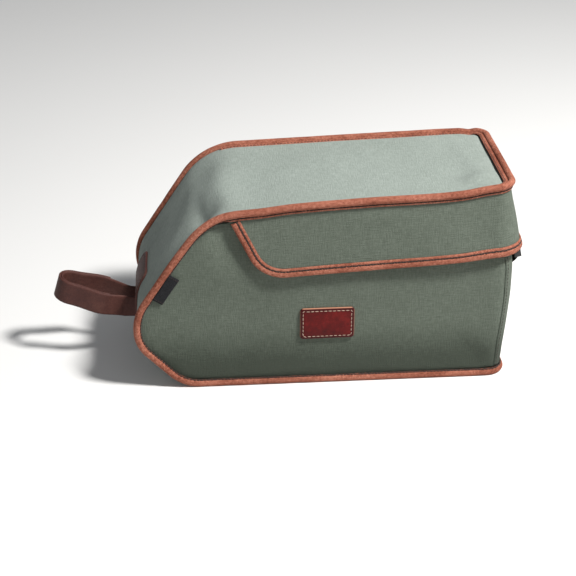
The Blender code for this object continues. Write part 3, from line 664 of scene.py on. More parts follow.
def stitchTree():
    tree = bpy.data.node_groups.new("stitchRow", "GeometryNodeTree")
    addSocket(tree, "Path", "NodeSocketGeometry")
    names = {}
    for name in ("pitch", "length", "thread", "rise", "slant"):
        names[name] = addSocket(tree, name, "NodeSocketFloat", 0.0)
    names["material"] = addSocket(tree, "material", "NodeSocketMaterial")
    addSocket(tree, "Stitches", "NodeSocketGeometry", None, "OUTPUT")

    def add(kind, settings=None, sockets=None):
        made = tree.nodes.new(kind)
        for key, value in (settings or {}).items():
            setattr(made, key, value)
        for key, value in (sockets or {}).items():
            if isinstance(value, bpy.types.NodeSocket):
                tree.links.new(value, made.inputs[key])
            else:
                made.inputs[key].default_value = value
        return made

    given = add("NodeGroupInput").outputs
    half = add("ShaderNodeMath", {"operation": "MULTIPLY"}, {0: given["length"], 1: 0.5}).outputs[0]
    back = add("ShaderNodeMath", {"operation": "MULTIPLY"}, {0: half, 1: -1.0}).outputs[0]
    thin = add("ShaderNodeMath", {"operation": "MULTIPLY"}, {0: given["thread"], 1: 0.5}).outputs[0]
    sunk = add("ShaderNodeMath", {"operation": "MULTIPLY"}, {0: given["thread"], 1: -0.55}).outputs[0]
    first = add("ShaderNodeCombineXYZ", None, {0: back, 2: sunk}).outputs[0]
    crown = add("ShaderNodeCombineXYZ", None, {2: given["rise"]}).outputs[0]
    last = add("ShaderNodeCombineXYZ", None, {0: half, 2: sunk}).outputs[0]
    arch = add("GeometryNodeCurveQuadraticBezier", None, {0: 5, 1: first, 2: crown, 3: last}).outputs[0]
    ring = add("GeometryNodeCurvePrimitiveCircle", None, {"Resolution": 6, "Radius": thin}).outputs[0]
    thread = add("GeometryNodeCurveToMesh", None,
                 {"Curve": arch, "Profile Curve": ring, "Fill Caps": True}).outputs[0]
    path = add("GeometryNodeMeshToCurve", None, {0: given["Path"]}).outputs[0]
    marks = add("GeometryNodeResampleCurve", {"mode": "LENGTH"},
                {"Curve": path, "Length": given["pitch"]}).outputs[0]
    way = add("GeometryNodeInputTangent").outputs[0]
    out = add("GeometryNodeInputNamedAttribute", {"data_type": "FLOAT_VECTOR"}, {"Name": "out"}).outputs[0]
    along = add("FunctionNodeAlignRotationToVector", {"axis": "X"}, {"Vector": way}).outputs[0]
    upright = add("FunctionNodeAlignRotationToVector", {"axis": "Z", "pivot_axis": "X"},
                  {"Rotation": along, "Vector": out}).outputs[0]
    index = add("GeometryNodeInputIndex").outputs[0]
    odd = add("ShaderNodeMath", {"operation": "MODULO"}, {0: index, 1: 2.0}).outputs[0]
    sign = add("ShaderNodeMath", {"operation": "MULTIPLY_ADD"}, {0: odd, 1: 2.0, 2: -1.0}).outputs[0]
    lean = add("ShaderNodeMath", {"operation": "MULTIPLY"}, {0: sign, 1: given["slant"]}).outputs[0]
    drift = add("FunctionNodeRandomValue", {"data_type": "FLOAT"},
                {"Min": -0.05, "Max": 0.05, "Seed": 7}).outputs[1]
    turn = add("ShaderNodeMath", {"operation": "ADD"}, {0: lean, 1: drift}).outputs[0]
    euler = add("ShaderNodeCombineXYZ", None, {2: turn}).outputs[0]
    spun = add("FunctionNodeRotateRotation", {"rotation_space": "LOCAL"},
               {"Rotation": upright, "Rotate By": euler}).outputs[0]
    size = add("FunctionNodeRandomValue", {"data_type": "FLOAT"},
               {"Min": 0.9, "Max": 1.06, "Seed": 11}).outputs[1]
    many = add("GeometryNodeInstanceOnPoints", None,
               {"Points": marks, "Instance": thread, "Rotation": spun, "Scale": size}).outputs[0]
    real = add("GeometryNodeRealizeInstances", None, {0: many}).outputs[0]
    coat = add("GeometryNodeSetMaterial", None,
               {"Geometry": real, "Material": given["material"]}).outputs[0]
    add("NodeGroupOutput", None, {0: coat})
    return tree, names


stitchRow, stitchInputs = stitchTree()


def sewRow(name, paths, look):
    # each path is a list of points with the way out of the cloth, and may close on itself
    points = []
    outs = []
    edges = []
    for path in paths:
        first = len(points)
        for point, out in path:
            points.append(settled(point))
            outs.append(out)
        edges += [(i, i + 1) for i in range(first, len(points) - 1)]
        if (points[first] - points[-1]).length < look["pitch"] * 1.6:
            edges.append((len(points) - 1, first))
    mesh = bpy.data.meshes.new(name + "Path")
    mesh.from_pydata(points, edges, [])
    layer = mesh.attributes.new("out", "FLOAT_VECTOR", "POINT")
    layer.data.foreach_set("vector", [value for out in outs for value in out])
    guide = newObject(name + "Path", mesh)
    nodes = guide.modifiers.new("stitches", "NODES")
    nodes.node_group = stitchRow
    for key, identifier in stitchInputs.items():
        nodes[identifier] = look[key]
    graph = bpy.context.evaluated_depsgraph_get()
    result = bpy.data.meshes.new_from_object(guide.evaluated_get(graph))
    result.name = name
    result.shade_smooth()
    bpy.data.objects.remove(guide)
    bpy.data.meshes.remove(mesh)
    made = newObject(name, result)
    return settle(made, look["material"])


# the long strip that makes the nose, the slope and the lid's top
topLook = {
    "sag": 0.0016,
    "rise": 0.0004,
    "tuck": 0.0011,
    "tuckReach": 0.0035,
    "sagShares": (0.55, 0.35),
    "riseShare": 0.22,
    "edgePower": 8,
    "rearTuck": 0.0028,
    "rearReach": 0.008,
    "columns": 72,
}
topDents = (
    {"name": "saddleDent", "along": 0.185, "across": -0.66, "reach": 0.050, "spread": 0.26, "depth": 0.034},
    {"name": "saddleRidge", "along": 0.250, "across": -0.52,
     "reach": 0.040, "spread": 0.30, "depth": -0.008},
    {"name": "saddleCrease", "along": 0.165, "across": -0.50,
     "reach": 0.020, "spread": 0.40, "depth": 0.016},
    {"name": "bendCrest", "along": 0.232, "across": -0.10, "reach": 0.036, "spread": 0.70, "depth": -0.012},
    {"name": "rearRidge", "along": 0.915, "across": -0.62, "reach": 0.045, "spread": 0.16, "depth": -0.020},
    {"name": "bendFold", "along": 0.190, "across": 0.55, "reach": 0.045, "spread": 0.35, "depth": 0.010},
    {"name": "rearCrease", "along": 0.880, "across": -0.30, "reach": 0.035, "spread": 0.45, "depth": 0.006},
)


def stripRise(z):
    return mix(piping["radius"], topLook["rise"], ease(z / (bag["height"] * topLook["riseShare"])))


def stripStations():
    inset = piping["radius"] + bag["gap"]
    hubX = bag["length"] - bag["lidRadius"]
    startX = outline[1].x + bag["bottomMeets"] - bag["gap"]
    stations = [(x, z, nx, nz, seamHalf(x, z) - inset) for x, z, nx, nz in runBetween(startX, hubX)]
    hubHalf = seamHalf(hubX, bag["height"]) - bag["lidRadius"]
    nx, nz = stations[-1][2:4]
    radius = bag["lidRadius"] - inset
    for angle in quarterTurn():
        x = hubX + radius * math.sin(angle)
        stations.append((x, seamHeight(x), nx, nz, hubHalf + radius * math.cos(angle)))
    return stations


def dentDepth(x, z, across):
    if z < halfHeight:
        return 0.0
    begin, grow = topLook["sagShares"]
    depth = topLook["sag"] * (1.0 - across ** 4) * ease((z / bag["height"] - begin) / grow)
    edge = 1.0 - across ** topLook["edgePower"]
    for dent in topDents:
        along = (x / bag["length"] - dent["along"]) / dent["reach"]
        sideways = (across - dent["across"]) / dent["spread"]
        depth += dent["depth"] * bag["height"] * edge * math.exp(-along ** 2 - sideways ** 2)
    return depth


def topUneven(point, x, across):
    soft = wave(point, 17.0, 3.0) * 0.0009 + wave(point, 38.0, 9.0) * 0.00035
    crease = bell((x - 0.345 + across * 0.012) / 0.006) * 0.0007
    return (soft + crease) * (1.0 - across ** 6)


def makeTopPanel():
    stations = stripStations()
    columns = topLook["columns"]
    rows = []
    uvRows = []
    run = 0.0
    rearInner = stations[-1][0]
    for i, (x, z, nx, nz, half) in enumerate(stations):
        if i:
            run += math.hypot(x - stations[i - 1][0], z - stations[i - 1][1])
        row = []
        uvRow = []
        normal = Vector((nx, 0.0, nz))
        for c in range(columns + 1):
            across = math.sin(math.pi * (c / columns - 0.5))
            point = Vector((x, half * across, z))
            border = half * (1.0 - abs(across))
            if z > halfHeight:
                border = min(border, rearInner - x)
            tuck = topLook["tuck"] * bell(border / topLook["tuckReach"])
            if z > halfHeight:
                tuck += topLook["rearTuck"] * bell((rearInner - x) / topLook["rearReach"])
            rise = stripRise(z) - dentDepth(x, z, across) - tuck + topUneven(point, x, across)
            row.append(point + normal * min(rise, piping["radius"]))
            uvRow.append((run, half * across))
        rows.append(row)
        uvRows.append(uvRow)
    made = gridObject("topPanel", rows, uvRows, Vector((bag["length"] * 0.5, 0.0, halfHeight)))
    declareCloth(made, 2.0 * max(station[4] for station in stations), run)
    solidify(made, bag["cloth"])
    # the top panel wears the lighter copy of the canvas, painted light
    return settle(made, topCanvasPaintedLight, ("front_top_panel",))


def makeBottomPanel():
    inset = piping["radius"] + bag["gap"]
    radius = bag["footRadius"] - inset
    hubX = bag["length"] - bag["footRadius"]
    startX = outline[1].x + bag["bottomMeets"]
    half = bag["halfWidth"] - inset
    places = [(mix(startX, hubX, k / 24.0), half) for k in range(25)]
    places += [(hubX + radius * math.sin(a), half - radius * (1.0 - math.cos(a))) for a in quarterTurn()]
    rows = []
    for x, width in places:
        rows.append([Vector((x, width * k / 12.0, -piping["radius"])) for k in range(-12, 13)])
    uvRows = [[(p.x, p.y) for p in row] for row in rows]
    made = gridObject("bottomPanel", rows, uvRows, Vector((bag["length"] * 0.5, 0.0, halfHeight)))
    declareCloth(made, 2.0 * half, hubX + radius - startX)
    solidify(made, bag["cloth"])
    return settle(made, canvas, ("bottom_panel",))


# side and rear panels
bodyLook = {
    "bulge": 0.0022,
    "rearSwell": 0.0055,
    "tuckGap": 0.0015,
    "tuckLead": 0.026,
    "tuckRun": 0.022,
    "rimDrop": 0.010,
    "rimGap": 0.012,
    "seamAngle": math.radians(38.0),
    "setBack": 0.0008,
    "skirtFront": 0.095,
    "middle": (0.52, 0.44),
    "tuckShares": (0.56, 0.30),
    "swellShares": (0.02, 0.42),
    "bulgeShares": (0.90, 0.74),
    "edgeDimple": 0.0008,
    "dimpleAt": 0.001,
    "dimpleReach": 0.003,
    "stiffEdge": 0.012,
}
sideFolds = (
    # a fold's foot and head as (along, up) in shares of the bag, its half width in metres and its height
    {"name": "rearFootFold", "foot": (0.985, 0.04), "head": (0.90, 0.30), "width": 0.007, "height": 0.0011},
    {"name": "rearFootHollow", "foot": (0.95, 0.03), "head": (0.84, 0.22),
     "width": 0.010, "height": -0.0010},
    {"name": "underLidFold", "foot": (0.30, 0.63), "head": (0.45, 0.60), "width": 0.008, "height": 0.0008},
    {"name": "noseFold", "foot": (0.06, 0.30), "head": (0.20, 0.42), "width": 0.010, "height": 0.0007},
    {"name": "keelFold", "foot": (0.16, 0.04), "head": (0.26, 0.20), "width": 0.010, "height": 0.0008},
)


def tuckShare(z):
    begin, grow = bodyLook["tuckShares"]
    return ease((z / bag["height"] - begin) / grow)


def wallHalf(x, z, swell):
    underLid = ease((x - bodyLook["skirtFront"] + bodyLook["tuckLead"]) / bodyLook["tuckRun"])
    inner = seamHalf(x, bag["height"]) - bodyLook["setBack"] - bag["cloth"] - bodyLook["tuckGap"]
    return mix(bag["halfWidth"] + swell, inner, tuckShare(z) * underLid)


def wallRear(z):
    begin, grow = bodyLook["swellShares"]
    rear = bag["length"] + bodyLook["rearSwell"] * ease((z / bag["height"] - begin) / grow)
    topRear = bag["length"] - bodyLook["setBack"] - bag["cloth"] - bodyLook["tuckGap"]
    return mix(rear, topRear, tuckShare(z))


def wallPoint(along, z, swell, lift):
    # a point of the near wall, straight along the side and then round the rear corner
    hubX = wallRear(z) - bag["footRadius"]
    if along <= hubX:
        return Vector((along, -wallHalf(along, z, swell) - lift, z))
    angle = (along - hubX) / bag["footRadius"]
    out = Vector((math.sin(angle), -math.cos(angle), 0.0))
    hub = Vector((hubX, bag["footRadius"] - wallHalf(hubX, z, swell), z))
    return hub + out * (bag["footRadius"] + lift)


def rearSeam(z):
    return wallRear(z) - bag["footRadius"] * (1.0 - bodyLook["seamAngle"])


def panelEdge():
    inset = piping["radius"] + bag["gap"]
    foot = bag["length"] - bag["footRadius"]
    edge = [(rearSeam(0.0), inset)]
    for x, z, nx, nz in runBetween(foot, foot):
        step = inset
        if z > halfHeight:
            share = ease((x - bodyLook["skirtFront"] + bodyLook["tuckLead"]) / bodyLook["tuckRun"])
            step = mix(inset, bodyLook["rimDrop"], share)
        edge.append((x - nx * step, z - nz * step))
    rim = seamHeight(bag["length"]) - bodyLook["rimDrop"]
    last = rearSeam(rim) - bodyLook["rimGap"]
    top = edge[-1][1]
    edge = [p for p in edge if p[1] < halfHeight or p[0] < last - 0.001] + [(last, top)]
    cuts = 30
    return edge + [(rearSeam(mix(rim, inset, k / cuts)), mix(rim, inset, k / cuts)) for k in range(cuts)]


def ringSwell(share):
    begin, grow = bodyLook["bulgeShares"]
    return bodyLook["bulge"] * ease((begin - share) / grow)


def panelMiddle():
    along, up = bodyLook["middle"]
    return Vector((bag["length"] * along, bag["height"] * up))


def foldLift(along, z):
    lift = 0.0
    spot = Vector((along, z))
    for fold in sideFolds:
        foot = Vector((fold["foot"][0] * bag["length"], fold["foot"][1] * bag["height"]))
        head = Vector((fold["head"][0] * bag["length"], fold["head"][1] * bag["height"]))
        way = head - foot
        share = max(0.0, min(1.0, (spot - foot).dot(way) / way.length_squared))
        away = (spot - foot - way * share).length
        lift += fold["height"] * bell(away / fold["width"]) * math.sin(math.pi * mix(0.15, 0.85, share))
    return lift


def wallUneven(along, z, seed):
    point = Vector((along, 0.0, z))
    return wave(point, 15.0, seed) * 0.0008 + wave(point, 34.0, seed + 4.0) * 0.0003


def makeSidePanel(name, node, side):
    edge = panelEdge()
    middle = panelMiddle()
    shares = [1.0, 0.995, 0.985, 0.97, 0.95] + [0.92 - 0.92 * k / 30.0 for k in range(31)]
    rows = []
    uvRows = []
    for share in shares:
        row = []
        uvRow = []
        for along, z in edge + edge[:1]:
            spot = middle.lerp(Vector((along, z)), share)
            border = (Vector((along, z)) - middle).length * (1.0 - share)
            free = ease(border / bodyLook["stiffEdge"])
            lift = (foldLift(spot.x, spot.y) + wallUneven(spot.x, spot.y, side * 5.0)) * free
            dimple = bell((border - bodyLook["dimpleAt"]) / bodyLook["dimpleReach"])
            lift -= bodyLook["edgeDimple"] * dimple
            point = wallPoint(spot.x, spot.y, ringSwell(share), lift)
            row.append(mirrored(point) if side > 0.0 else point)
            uvRow.append((spot.x, spot.y))
        rows.append(row)
        uvRows.append(uvRow)
    made = gridObject(name, rows, uvRows, Vector((bag["length"] * 0.5, 0.0, halfHeight)))
    width, length = [max(p[i] for p in edge) - min(p[i] for p in edge) for i in (1, 0)]
    declareCloth(made, width, length)
    solidify(made, bag["cloth"])
    return settle(made, canvas, (node,))


def rearRow(z):
    first = rearSeam(z) + bag["gap"]
    corner = wallRear(z) - bag["footRadius"] * (1.0 - math.pi / 2.0)
    near = [wallPoint(mix(first, corner, k / 10.0), z, 0.0, 0.0) for k in range(11)]
    half = -near[-1].y
    flat = [Vector((near[-1].x, half * k / 12.0, z)) for k in range(-11, 12)]
    return near + flat + [mirrored(p) for p in reversed(near)]


def makeRearPanel():
    inset = piping["radius"] + bag["gap"]
    rim = seamHeight(bag["length"]) - bodyLook["rimDrop"]
    rows = []
    uvRows = []
    widest = 0.0
    for k in range(61):
        z = mix(inset, rim, k / 60.0)
        row = rearRow(z)
        free = ease((z - inset) / bodyLook["stiffEdge"])
        for i, p in enumerate(row):
            side = min(i, len(row) - 1 - i)
            soft = wave(p, 16.0, 21.0) * 0.0009 + wave(p, 40.0, 2.0) * 0.0003
            fold = bell((p.y + 0.2 * z + 0.02) / 0.012) * bell((z - 0.03) / 0.03) * 0.0011
            row[i] = p + Vector(((soft + fold) * free * ease(side / 8.0), 0.0, 0.0))
        run = 0.0
        uvRow = []
        for i, p in enumerate(row):
            if i:
                run += math.hypot(p.x - row[i - 1].x, p.y - row[i - 1].y)
            uvRow.append((run, z))
        widest = max(widest, run)
        rows.append(row)
        uvRows.append(uvRow)
    made = gridObject("rearPanel", rows, uvRows, Vector((bag["length"] * 0.5, 0.0, halfHeight)))
    declareCloth(made, widest, rim - inset)
    solidify(made, bag["cloth"])
    return settle(made, canvas, ("rear_panel",))


# the lid's skirt and the tape that binds it
skirt = {
    "front": 0.095,
    "lean": 0.031,
    "deeperFront": 0.0035,
    "shallowerRear": 0.0008,
    "drop": 0.0695,
    "fillet": 0.040,
    "frontFlare": 0.0066,
    "sideFlare": 0.0120,
    "rearFlare": 0.0150,
    "cornerShare": 0.45,
    "softFrom": 0.02,
    "softTo": 0.03,
    "past": 0.004,
    "rows": 26,
}
binding = {
    "width": 0.0092,
    "thickness": 0.001,
    "groove": 0.34,
    "round": 0.0007,
    "pucker": 0.00022,
    "seam": 0.0031,
}


def skirtEdge():
    top = Vector((skirt["front"], seamTop))
    corner = Vector((skirt["front"] + skirt["lean"], skirt["drop"]))
    wayIn = (corner - top).normalized()
    turn = math.acos(wayIn.x)
    start = corner - wayIn * skirt["fillet"] * math.tan(turn / 2.0)
    inward = Vector((wayIn.y, -wayIn.x))
    hub = start + inward * skirt["fillet"]
    points = [top.lerp(start, k / 8.0) for k in range(8)]
    for k in range(25):
        angle = turn * k / 24.0
        before = hub - inward * skirt["fillet"] * math.cos(angle)
        points.append(before + wayIn * skirt["fillet"] * math.sin(angle))
    return points


def skirtStations():
    hubX = bag["length"] - bag["lidRadius"]
    side = Vector((0.0, -1.0, 0.0))
    deeper = skirt["deeperFront"] / skirt["drop"]
    shallower = skirt["shallowerRear"] / skirt["drop"]
    places = skirtEdge()
    last = places[-1].x
    cuts = math.ceil((hubX - last) / bag["runStep"])
    places += [Vector((mix(last, hubX, k / cuts), skirt["drop"])) for k in range(1, cuts + 1)]
    near = []
    for place in places:
        share = (place.x - skirt["front"]) / (hubX - skirt["front"])
        flare = mix(skirt["frontFlare"], skirt["sideFlare"], share)
        point = Vector((place.x, -seamHalf(place.x, bag["height"]), seamHeight(place.x)))
        near.append((point, side, flare, place.y * mix(1.0 + deeper, 1.0 - shallower, share)))
    half = seamHalf(hubX, bag["height"])
    for angle in quarterTurn():
        point, way, _ = cornerFrame(hubX, half, bag["lidRadius"], angle, 1.0)
        flare = mix(skirt["sideFlare"], skirt["rearFlare"], angle / (math.pi / 2.0))
        near.append((point, way, flare, skirt["drop"] - skirt["shallowerRear"]))
    point, way, flare, depth = near[-1]
    rear = [(Vector((point.x, point.y * k / 14.0, point.z)), way, flare, depth) for k in range(13, -14, -1)]
    return near + rear + [(mirrored(p), mirrored(b), flare, depth) for p, b, flare, depth in reversed(near)]


def skirtPoint(station, depth, lift):
    point, way, flare, _ = station
    share = (depth - seamTop) / (skirt["drop"] - seamTop)
    place = point + way * (flare * share - bodyLook["setBack"] + lift) - Vector((0.0, 0.0, depth))
    soft = wave(place, 19.0, 13.0) * 0.0009 + wave(place, 45.0, 5.0) * 0.0003
    rising = ease((depth - seamTop) / skirt["softFrom"])
    fading = ease((skirt["drop"] + skirt["past"] - depth) / skirt["softTo"])
    return place + way * soft * rising * fading


def makeLidSkirt():
    rows = []
    uvRows = []
    run = 0.0
    stations = skirtStations()
    for i, station in enumerate(stations):
        if i:
            run += (station[0] - stations[i - 1][0]).length
        low = max(station[3], seamTop + binding["width"] * skirt["cornerShare"])
        depths = [mix(seamTop, low, k / skirt["rows"]) for k in range(skirt["rows"] + 1)]
        rows.append([skirtPoint(station, depth, 0.0) for depth in depths])
        uvRows.append([(run, depth) for depth in depths])
    made = gridObject("lidSkirt", rows, uvRows, Vector((bag["length"] * 0.5, 0.0, bag["height"] * 0.8)))
    declareCloth(made, skirt["drop"] + skirt["deeperFront"], run)
    solidify(made, bag["cloth"])
    return settle(made, canvas, ("lid_skirt",))


def bindingFrames():
    start = piping["roll"] + piping["flange"] + bag["gap"]
    kept = [s for s in skirtStations() if s[3] > start]
    edge = [skirtPoint(s, s[3], 0.0) for s in kept]
    frames = []
    for i, station in enumerate(kept):
        way = (edge[min(i + 1, len(edge) - 1)] - edge[max(i - 1, 0)]).normalized()
        faceDown = edge[i] - skirtPoint(station, station[3] - binding["width"], 0.0)
        out = faceDown.cross(way).normalized()
        frames.append((edge[i], out, way.cross(out)))
    return frames


def makeLidBinding():
    face = bag["gap"] + binding["thickness"]
    back = -bag["cloth"] - face
    leg = -binding["width"] + binding["thickness"]
    soft = binding["round"]
    groove = leg + binding["width"] * binding["groove"]
    inside = -bag["cloth"] - bag["gap"]
    profile = [(face - 0.0006, leg - 0.0002), (face + 0.0002, leg + 0.0009)]
    profile += [(face + 0.0003, groove - 0.0012), (face - 0.0005, groove)]
    profile += [(face + 0.0005, groove + 0.0014), (face + 0.0008, groove + 0.0030)]
    profile += [(face + 0.0006, face - soft * 2.2), (face + 0.0002, face - soft * 1.4)]
    profile += [(face - soft * 0.3, face - soft), (face - soft, face - soft * 0.3)]
    profile += [(face - soft * 2.0, face), (back + soft * 2.0, face)]
    profile += [(back + soft, face - soft * 0.3), (back + soft * 0.3, face - soft)]
    profile += [(back, face - soft * 2.0), (back, leg), (inside, leg), (inside, bag["gap"])]
    profile += [(bag["gap"], bag["gap"]), (bag["gap"], leg - 0.0002)]
    frames = []
    for point, out, down in bindingFrames():
        pucker = out * (wave(point, 210.0, 31.0) * binding["pucker"])
        frames.append((point + pucker, out, down))
    made = sweepObject("lidBinding", frames, profile, False)
    return settle(made, tan, ("lid_binding",))


def bindingRow(inset):
    face = bag["gap"] + binding["thickness"] - 0.0004
    return [(p + out * face - down * (binding["width"] - binding["thickness"] - inset), out)
            for p, out, down in bindingFrames()]


# piping round every long seam
def flangeReach(point):  # wide along the lid's edge, all but hidden elsewhere
    lid = ease((point.x - piping["lidFrom"]) / piping["lidRun"]) if point.z > halfHeight else 0.0
    return mix(piping["flangeHidden"], piping["flange"], lid)


def pipingSection(reach):
    radius = piping["roll"]
    thick = bag["gap"] + piping["flangeThickness"]
    first = math.asin(thick / radius)
    sweep = 2.0 * math.pi - (first - math.asin(bag["gap"] / radius))
    profile = []
    for k in range(piping["sides"] + 1):
        angle = first + sweep * k / piping["sides"]
        profile.append((radius * math.sin(angle), -radius * math.cos(angle)))
    tail = -radius - reach
    profile += [(bag["gap"], tail), (thick - 0.0003, tail), (thick, mix(tail, -radius, 0.1))]
    return profile + [(thick + 0.0002, mix(tail, -radius, 0.4)), (thick - 0.0002, mix(tail, -radius, 0.8))]


def makeEdgePiping():
    frames = []
    sections = []
    for point, out, up in seamLoop():
        soft = wave(point, 60.0, 17.0) * 0.00025
        frames.append((point + up * min(0.0, soft) + out * soft, out, up))
        sections.append(pipingSection(flangeReach(point)))
    made = sweepObject("edgePiping", frames, sections, True)
    return settle(made, tan, ("edge_piping",))


def pipingRow(share):  # sewn this share of the way down the flange
    lift = bag["gap"] + piping["flangeThickness"]
    return [(p + out * lift - up * (piping["roll"] + flangeReach(p) * share), out)
            for p, out, up in seamLoop()]


# flat tape sewn on the lid just inside its piping
tape = {"width": 0.0042, "thickness": 0.0009, "from": 0.092, "sink": 0.0006, "seam": 0.0012}


def tapeFrames():  # the lid's part of the seam, from the near bend round the rear to the far bend
    return [(p, out, up) for p, out, up in seamLoop() if p.z > halfHeight and p.x > tape["from"]]


def makeLidTape():
    inner = -piping["radius"] - bag["gap"] - tape["width"]
    outer = -piping["radius"] + 0.0004
    top = tape["thickness"] - tape["sink"]
    profile = [(outer, -tape["sink"]), (inner, -tape["sink"])]
    profile += [(inner - 0.0001, top - 0.0004), (inner + 0.0004, top)]
    profile += [(mix(inner, outer, 0.5), top + 0.0003), (outer, top + 0.0001)]
    frames = [(p + up * (wave(p, 90.0, 4.0) * 0.0002), out, up) for p, out, up in tapeFrames()]
    made = sweepObject("lidTape", frames, profile, False)
    return settle(made, tan)


def tapeRow():
    inner = piping["radius"] + bag["gap"] + tape["width"] - tape["seam"]
    top = tape["thickness"] - tape["sink"] + 0.0001
    return [(p - out * inner + up * top, up) for p, out, up in tapeFrames()]


makeTopPanel()
makeBottomPanel()
makeSidePanel("sidePanelLeft", "side_panel_left", -1.0)
makeSidePanel("sidePanelRight", "side_panel_right", 1.0)
makeRearPanel()
makeLidSkirt()
makeLidBinding()
makeEdgePiping()
makeLidTape()
sewRow("tapeStitches", [tapeRow()], {
    "pitch": 0.0036,
    "length": 0.0028,
    "thread": 0.0010,
    "rise": 0.0005,
    "slant": 0.06,
    "material": darkThread,
})
# partly real stitching and partly painted shade: the thick dark thread row, sewn high on the flange, draws
# the shadow line under the piping's roll
sewRow("pipingStitches", [pipingRow(piping["sewnAt"])], {
    "pitch": 0.0036,
    "length": 0.0035,
    "thread": 0.0016,
    "rise": 0.0006,
    "slant": 0.06,
    "material": darkThread,
})
# partly real zigzag stitching and partly painted shade: the thick, overlapping dark thread fills the
# binding's groove as a dark shadow line
sewRow("bindingStitches", [bindingRow(binding["seam"])], {
    "pitch": 0.0030,
    "length": 0.0040,
    "thread": 0.0024,
    "rise": 0.0011,
    "slant": 0.3,
    "material": darkThread,
})
print("cloth body, lid and piping made")


# leather patch on the left side
patch = {
    "x": 0.1915,
    "z": 0.0665,
    "length": 0.055,
    "height": 0.035,
    "corner": 0.0035,
    "thickness": 0.002,
    "step": 0.0025,
    "seam": 0.0030,
}


def ringOutline(length, height, corner, inset=0.0, steps=6):
    # a rectangle with round corners, drawn inset from its edge
    a = length / 2.0 - inset
    b = height / 2.0 - inset
    radius = max(corner - inset, 0.0004)
    points = []
    for quarter, (sx, sz) in enumerate(((1, 1), (-1, 1), (-1, -1), (1, -1))):
        for k in range(steps + 1):
            angle = math.pi / 2.0 * (quarter + k / steps)
            across = sx * (a - radius) + radius * math.cos(angle)
            points.append((across, sz * (b - radius) + radius * math.sin(angle)))
    return points


def evenSteps(points, step, closed=True):
    line = points + points[:1] if closed else points
    finer = []
    for a, b in zip(line, line[1:]):
        cuts = max(1, math.ceil(math.dist(a, b) / step))
        finer += [(mix(a[0], b[0], k / cuts), mix(a[1], b[1], k / cuts)) for k in range(cuts)]
    return finer if closed else finer + [points[-1]]


def sideFace(x, z, lift):
    middle = panelMiddle()
    spot = Vector((x, z)) - middle
    reach = 1.0
    edge = [Vector(p) - middle for p in panelEdge()]
    for p, q in zip(edge, edge[1:] + edge[:1]):
        spread = p.x * q.y - p.y * q.x
        first = (spot.x * q.y - spot.y * q.x) / spread
        second = (p.x * spot.y - p.y * spot.x) / spread
        if first >= -1e-9 and second >= -1e-9:
            reach = first + second
    own = foldLift(x, z) + wallUneven(x, z, -5.0)
    return wallPoint(x, z, ringSwell(reach), lift + own)


def makeSidePatch():
    layers = (
        (0.0, 0.0), (0.0, 0.6), (0.0003, 0.88), (0.0008, 1.0),
        (0.002, 1.04), (0.0030, 0.97), (0.0042, 1.05),
    )
    base = evenSteps(ringOutline(patch["length"], patch["height"], patch["corner"]), patch["step"])
    rows = []
    uvRows = []
    for inset, share in layers:
        row = []
        uvRow = []
        for x, z in base + base[:1]:
            sx = x * (1.0 - 2.0 * inset / patch["length"])
            sz = z * (1.0 - 2.0 * inset / patch["height"])
            row.append(sideFace(patch["x"] + sx, patch["z"] + sz, bag["gap"] + patch["thickness"] * share))
            uvRow.append((sx, sz))
        rows.append(row)
        uvRows.append(uvRow)
    for k in range(1, 13):
        share = 1.0 - k / 12.0
        inset = layers[-1][0]
        row = []
        uvRow = []
        for x, z in base + base[:1]:
            sx = x * (1.0 - 2.0 * inset / patch["length"]) * share
            sz = z * (1.0 - 2.0 * inset / patch["height"]) * share
            crown = 1.05 + 0.08 * (1.0 - share * share)
            row.append(sideFace(patch["x"] + sx, patch["z"] + sz, bag["gap"] + patch["thickness"] * crown))
            uvRow.append((sx, sz))
        rows.append(row)
        uvRows.append(uvRow)
    made = gridObject("sidePatch", rows, uvRows, Vector((bag["length"] * 0.5, 0.0, halfHeight)))
    settle(made, patchBrown, ("side_patch",))
    line = evenSteps(ringOutline(patch["length"], patch["height"], patch["corner"], patch["seam"]), 0.001)
    lift = bag["gap"] + patch["thickness"]
    path = [(sideFace(patch["x"] + x, patch["z"] + z, lift), Vector((0.0, -1.0, 0.0))) for x, z in line]
    sewRow("patchStitches", [path + path[:1]], {
        "pitch": 0.0045,
        "length": 0.0034,
        "thread": 0.0008,
        "rise": 0.0005,
        "slant": 0.0,
        "material": paleThread,
    })


# woven tab caught in the front seam
tab = {"upShare": 0.562, "length": 0.033, "width": 0.011, "thickness": 0.0008}


